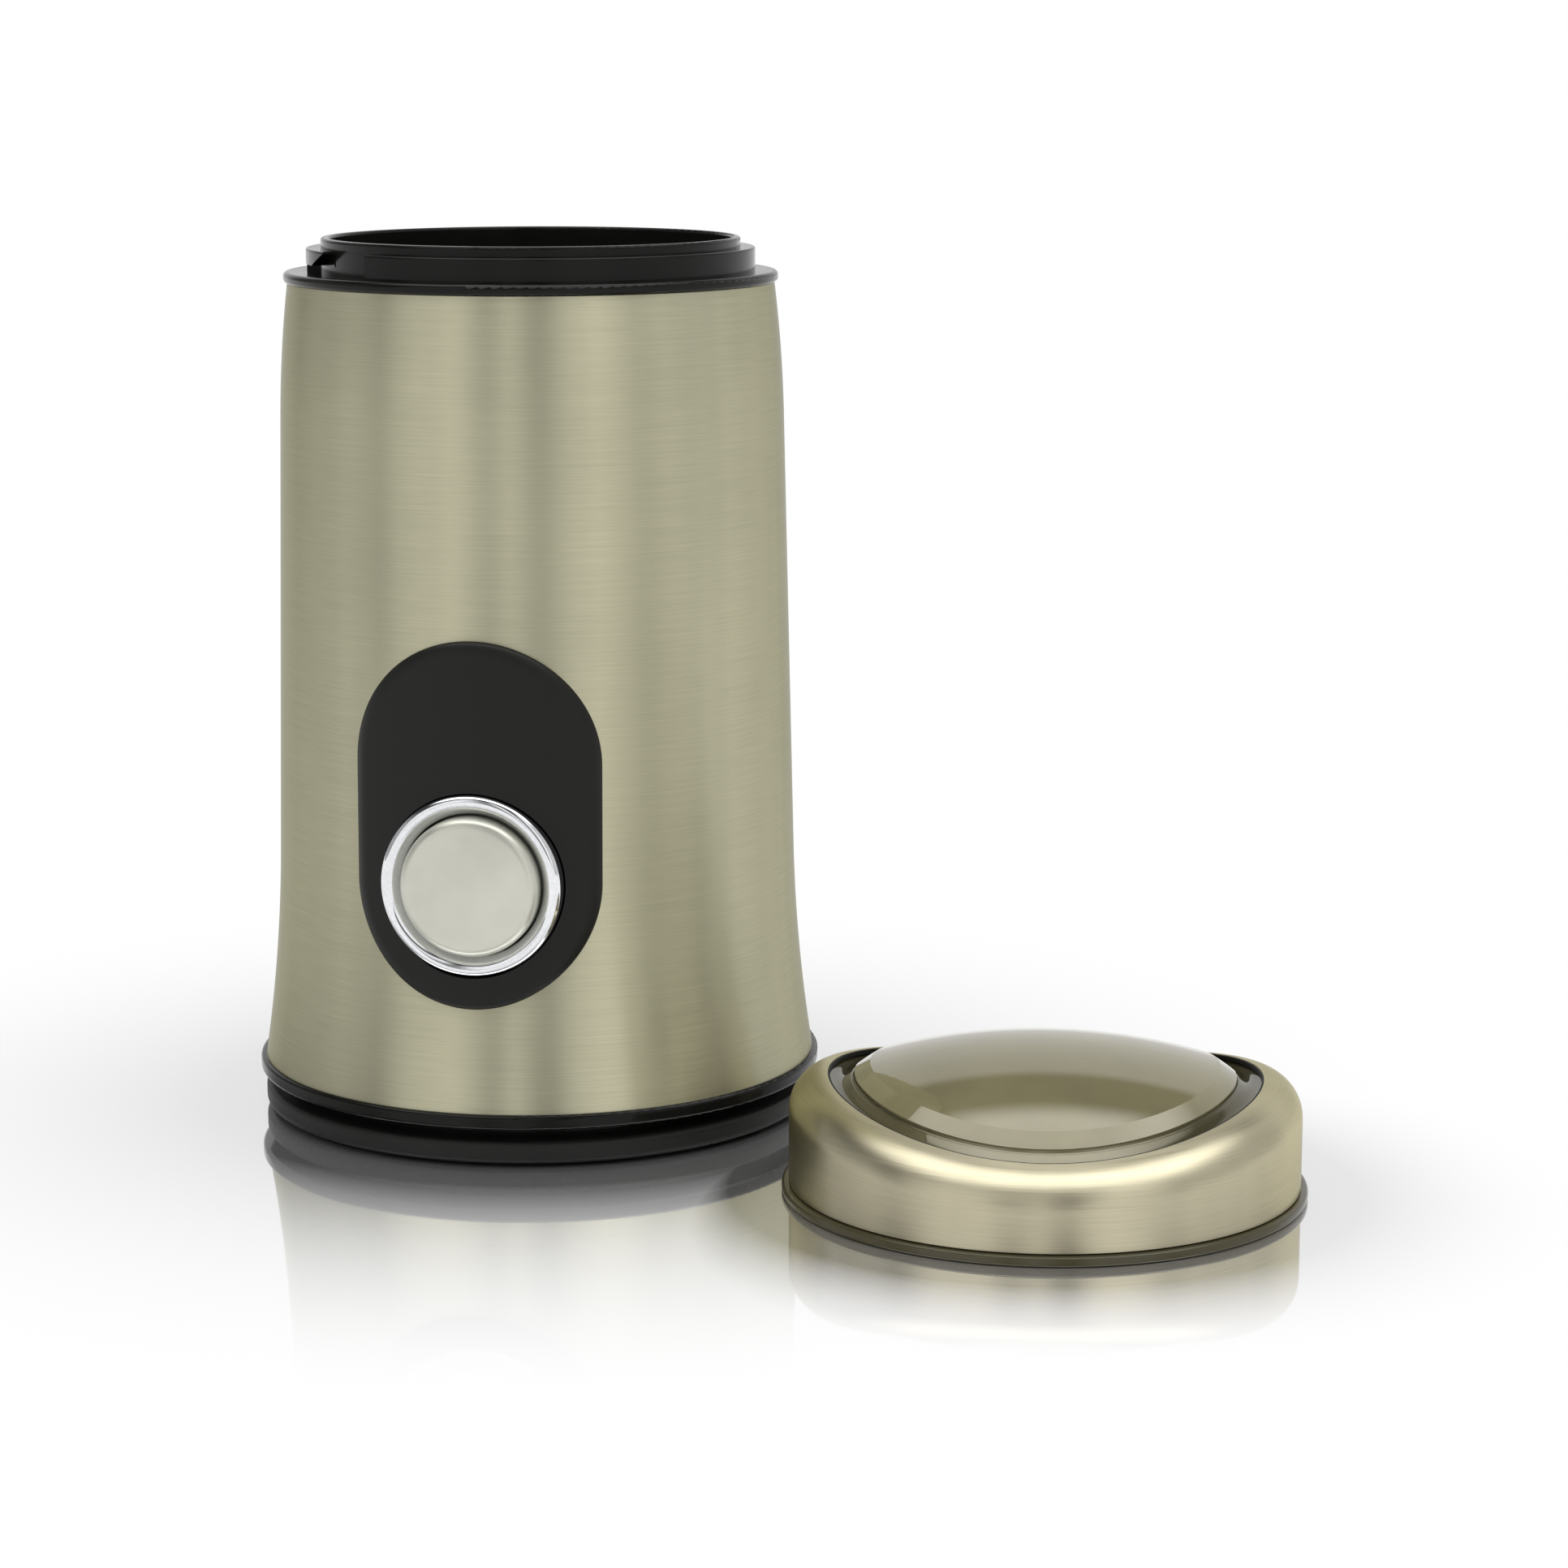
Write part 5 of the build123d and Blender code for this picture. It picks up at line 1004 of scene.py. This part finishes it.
class GRINDER_OT_inside(bpy.types.Operator):
    """Finishes of the bowl, the blade and everything behind the sleeve"""

    bl_idname = "grinder.inside"
    bl_label = "Bowl, blade and motor"
    bowl_tint = (0.6, 0.59, 0.56)
    bowl_stretch = (8.0, 8.0, 1.0)
    # Finish, effect, tint, smooth and rough ends of its roughness, bump, and the CAD nodes that have it
    metals = (
        ("blade steel", "brushed", (0.6, 0.6, 0.6), 0.2, 0.32, 0.1, ("blade",)),
        ("cast zinc", "metal", (0.5, 0.5, 0.5), 0.35, 0.5, 0.3, ("upper_bracket", "lower_bracket")),
        ("lamination", "brushed", (0.2, 0.2, 0.21), 0.4, 0.55, 0.3, ("stator_core", "armature_core")),
        ("copper winding", "metal", (0.55, 0.22, 0.1), 0.3, 0.45, 0.3,
         ("field_coils", "armature_winding", "commutator")),
        ("bush bronze", "metal", (0.45, 0.3, 0.15), 0.35, 0.5, 0.2, ("upper_bearing", "lower_bearing")),
    )
    mouldings = (
        ("seal rubber", "moulded", (0.06, 0.06, 0.06), 0.5, 0.65, 0.2,
         ("bowl_gasket", "shaft_seal", "motor_mounts")),
        ("housing grey", "moulded", (0.07, 0.07, 0.07), 0.4, 0.5, 0.1,
         ("inner_housing", "switch_carrier", "blade_hub")),
        ("switch black", "moulded", (0.025, 0.025, 0.025), 0.35, 0.45, 0.1,
         ("power_switch", "interlock_switch")),
        ("carbon", "moulded", (0.02, 0.02, 0.02), 0.5, 0.65, 0.3, ("carbon_brushes",)),
        ("natural nylon", "moulded", (0.62, 0.61, 0.56), 0.4, 0.5, 0.1,
         ("cooling_fan", "brush_holders", "terminal_block", "interlock_pin")),
        ("plunger red", "moulded", (0.35, 0.03, 0.02), 0.35, 0.45, 0.1,
         ("switch_plunger", "interlock_plunger")),
        ("capacitor yellow", "moulded", (0.5, 0.36, 0.05), 0.25, 0.35, 0.05, ("suppressor",)),
    )
    bright_nodes = (
        "blade_nut", "motor_shaft", "foot_screws", "housing_screws", "motor_screws", "button_clip",
        "brush_springs",
    )

    def execute(self, context):
        chrome = context.scene.grinder_colours.chrome
        bowl = finish(
            "bowl steel", "brushed", self.bowl_tint, smooth=0.2, rough=0.32, bump=0.08,
            scale=self.bowl_stretch, Metallic=1.0,
        )
        bright = finish("bright steel", "metal", chrome, smooth=0.15, rough=0.28, bump=0.05, Metallic=1.0)
        dress(bowl, "grinding_bowl")
        dress(bright, *self.bright_nodes)
        for *look, nodes in self.metals:
            dress(finish(*look, Metallic=1.0), *nodes)
        for *look, nodes in self.mouldings:
            dress(finish(*look), *nodes)
        for joint in frame["record"]["behaviour"]["joints"]:
            for spring in joint.get("deforming_nodes", ()):
                coil(spring, bright)
        return {"FINISHED"}


# Studio


def softbox(name, place, aim, width, height, power):
    """Rectangular area lamp at a place, turned towards a point. Gloss and metal see the room instead of
    it."""
    lamp = bpy.data.lights.new(name, "AREA")
    lamp.shape = "RECTANGLE"
    lamp.size, lamp.size_y, lamp.energy = width, height, power
    made = bpy.data.objects.new(name, lamp)
    made.location = place
    towards = np.subtract(aim, place)
    pitch = np.arctan2(np.hypot(towards[0], towards[1]), -towards[2])
    made.rotation_euler = (pitch, 0.0, np.arctan2(-towards[0], towards[1]))
    made.visible_glossy = False
    bpy.context.scene.collection.objects.link(made)


class GRINDER_OT_studio(bpy.types.Operator):
    """Floor, light and camera"""

    bl_idname = "grinder.studio"
    bl_label = "Studio"
    sensor_width = 36.0
    floor_reach = 6.0
    floor_tint = (0.985, 0.985, 1.0, 1.0)
    floor_metal = 0.88
    floor_rough = 0.04
    # Distances from a footprint's centre up to which the table shows its own finish whole, and where it ends
    body_patch = (0.0585, 0.165)
    lid_patch = (0.052, 0.09)
    # Lamps: name, place, point that they face, width, height and power
    softboxes = (
        ("top softbox", (0.1, 0.1, 1.5), (0.03, -0.02, 0.05), 1.6, 1.2, 10.0),
        ("left softbox", (-1.1, -0.9, 0.75), (0.0, 0.0, 0.08), 0.35, 1.1, 3.0),
        ("right softbox", (1.25, -0.55, 0.75), (0.05, 0.0, 0.08), 0.3, 1.1, 3.0),
    )
    # Light from all sides, and what is left of white in the room's dark part
    room_light = 0.5
    room_dark = 0.16
    # Angles from straight up: the backdrop ends at one, the ceiling's light is whole within the other
    backdrop_tip = np.radians(49.0)
    room_edge = np.radians(6.0)
    ceiling_tip = np.radians(20.0)
    ceiling_edge = np.radians(11.0)
    ceiling_light = 3.2
    # The dark part and the ceiling's light set in with a direction's height; the dark part ends at the right
    dark_rise = (0.35, 0.6)
    dark_right = (0.5, 0.3)
    ceiling_rise = (0.68, 0.88)
    # The room's front is a little brighter above the table's level
    front_lift = 0.28
    lift_rise = (0.0, 0.22)
    lift_front = (0.2, 0.6)
    # Soft upright cards: direction from the front in degrees, half width in degrees, and the light they take
    cards = (
        (-92.0, 62.0, 0.5),
        (-121.0, 24.0, 0.6),
        (-60.0, 15.0, 0.75),
        (-8.0, 12.0, 0.75),
        (17.0, 15.0, 0.95),
        (64.0, 13.0, 0.45),
        (95.0, 55.0, 0.2),
        (124.0, 14.0, 0.25),
    )

    def execute(self, context):
        stage = context.scene.grinder_stage
        side = np.array([-1.0, 1.0]) * self.floor_reach
        x, y = np.meshgrid(side, side, indexing="ij")
        grid = np.stack([x, y, np.zeros_like(x)], axis=-1)
        floor = grid_object("floor", grid, grid[..., :2])
        floor.data.materials.append(self.floor_material())
        self.world(context.scene, stage.camera_turn)
        for lamp in self.softboxes:
            softbox(*lamp)
        self.camera(context.scene, stage)
        context.scene.view_settings.view_transform = "Standard"
        return {"FINISHED"}

    def camera(self, scene, stage):
        """Camera at a level distance from the body's axis and a little aside, turned round the body and
        pitched."""
        camera = bpy.data.cameras.new("camera")
        camera.sensor_width = self.sensor_width
        camera.lens = stage.lens
        made = bpy.data.objects.new("camera", camera)
        c, s = np.cos(stage.camera_turn), np.sin(stage.camera_turn)
        made.location = (
            stage.camera_distance * s + stage.camera_aside * c,
            -stage.camera_distance * c + stage.camera_aside * s,
            stage.camera_height,
        )
        made.rotation_euler = (np.pi / 2 - stage.camera_pitch, 0.0, stage.camera_turn)
        scene.collection.objects.link(made)
        scene.camera = made

    def floor_material(self):
        """Pale polished table that mirrors the grinder close by, and runs out into plain white for the camera
        and for what gloss and clear pieces show."""
        material, tree, shader = new_material("pale table")
        shader.inputs["Base Color"].default_value = self.floor_tint
        shader.inputs["Metallic"].default_value = self.floor_metal
        shader.inputs["Roughness"].default_value = self.floor_rough
        body = self.patch(tree, (0.0, 0.0, 0.0), *self.body_patch)
        lid = self.patch(tree, (LID_X, LID_Y, 0.0), *self.lid_patch)
        rays = tree.nodes.new("ShaderNodeLightPath").outputs
        seen = largest(tree, rays["Is Camera Ray"], rays["Is Glossy Ray"], rays["Is Transmission Ray"])
        share = times(tree, less(tree, 1.0, largest(tree, body, lid)), seen)
        white = tree.nodes.new("ShaderNodeEmission").outputs["Emission"]
        mix = add(tree, "MixShader", {"Fac": share, 1: shader.outputs["BSDF"], 2: white})
        feed(tree, tree.nodes["Material Output"].inputs["Surface"], mix.outputs["Shader"])
        return material

    def patch(self, tree, centre, start, end):
        """Share of the table's own finish round a footprint: 1 up to the start distance from its centre, then
        falling to 0 at the end distance, squared."""
        place = tree.nodes.new("ShaderNodeTexCoord").outputs["Object"]
        away = add(tree, "VectorMath", {0: place, 1: centre}, operation="DISTANCE").outputs["Value"]
        left = mapped(tree, away, start, end, 1.0, 0.0)
        return times(tree, left, left)

    def world(self, scene, turn):
        """White for what the camera and clear pieces see, a white backdrop under a darker room with a light
        overhead for what gloss and metal see, and a plain grey light for the rest."""
        world = bpy.data.worlds.new("studio")
        world.use_nodes = True
        scene.world = world
        tree = world.node_tree
        light = tree.nodes["Background"]
        light.inputs["Color"].default_value = WHITE
        light.inputs["Strength"].default_value = self.room_light
        room = add(tree, "Background", {"Strength": self.room(tree, turn)})
        white = add(tree, "Background", {"Color": WHITE})
        rays = tree.nodes.new("ShaderNodeLightPath").outputs
        shader = light.outputs["Background"]
        for ray, seen in (("Is Glossy Ray", room), ("Is Transmission Ray", white), ("Is Camera Ray", white)):
            mix = add(tree, "MixShader", {"Fac": rays[ray], 1: shader, 2: seen.outputs["Background"]})
            shader = mix.outputs["Shader"]
        feed(tree, tree.nodes["World Output"].inputs["Surface"], shader)

    def room(self, tree, turn):
        """Brightness of the room by direction: white low down, a long light overhead from left to right and
        darker between, with soft upright cards that take some light away. The tip is the angle from straight
        up, seen from the side."""
        place = tree.nodes.new("ShaderNodeTexCoord").outputs["Generated"]
        direction = add(tree, "SeparateXYZ", {"Vector": place}).outputs
        x, y, z = direction["X"], direction["Y"], direction["Z"]
        ahead = (-np.sin(turn), np.cos(turn), 0.0)
        along = add(tree, "VectorMath", {0: place, 1: ahead}, operation="DOT_PRODUCT").outputs["Value"]
        tip = result(tree, "ARCTAN2", result(tree, "ABSOLUTE", along), z)
        above = soft_step(tree, tip, self.backdrop_tip, self.backdrop_tip - self.room_edge)
        above = times(tree, above, soft_step(tree, z, *self.dark_rise))
        above = times(tree, above, soft_step(tree, x, *self.dark_right))
        overhead = soft_step(tree, tip, self.ceiling_tip + self.ceiling_edge, self.ceiling_tip)
        overhead = times(tree, overhead, soft_step(tree, z, *self.ceiling_rise))
        front = times(tree, y, -1.0)
        lift = times(tree, soft_step(tree, z, *self.lift_rise), soft_step(tree, front, *self.lift_front))
        value = times(tree, less(tree, 1.0 - self.room_dark, above), less(tree, -self.front_lift, lift))
        around = result(tree, "ARCTAN2", x, front)
        for centre, width, shade in self.cards:
            off = result(tree, "ABSOLUTE", result(tree, "SUBTRACT", around, np.radians(centre)))
            value = times(tree, value, less(tree, shade, soft_step(tree, off, np.radians(width), 0.0)))
        return result(tree, "ADD", value, times(tree, overhead, self.ceiling_light))


OPERATORS = (
    GRINDER_OT_sleeve,
    GRINDER_OT_shell,
    GRINDER_OT_panel,
    GRINDER_OT_lid,
    GRINDER_OT_inside,
    GRINDER_OT_studio,
)


class GRINDER_PT_panel(bpy.types.Panel):
    """Sidebar panel with the pieces of the grinder"""

    bl_idname = "GRINDER_PT_panel"
    bl_label = "Coffee grinder"
    bl_space_type = "VIEW_3D"
    bl_region_type = "UI"
    bl_category = "Grinder"

    def draw(self, context):
        for operator in OPERATORS:
            self.layout.operator(operator.bl_idname)


SETTINGS = {"grinder_sizes": GrinderSizes, "grinder_colours": GrinderColours, "grinder_stage": GrinderStage}
CLASSES = (*SETTINGS.values(), *OPERATORS, GRINDER_PT_panel)


def register():
    """Registers the classes, and hangs the settings on the scene."""
    for cls in CLASSES:
        bpy.utils.register_class(cls)
    for name, cls in SETTINGS.items():
        setattr(bpy.types.Scene, name, bpy.props.PointerProperty(type=cls))


def unregister():
    """Takes the settings off the scene, and the classes out again."""
    for name in SETTINGS:
        delattr(bpy.types.Scene, name)
    for cls in reversed(CLASSES):
        bpy.utils.unregister_class(cls)


def main():
    """Builds every piece and the studio."""
    register()
    bpy.ops.grinder.sleeve()
    bpy.ops.grinder.shell()
    bpy.ops.grinder.panel()
    bpy.ops.grinder.lid()
    bpy.ops.grinder.inside()
    bpy.ops.grinder.studio()


if __name__ == "__main__":
    main()
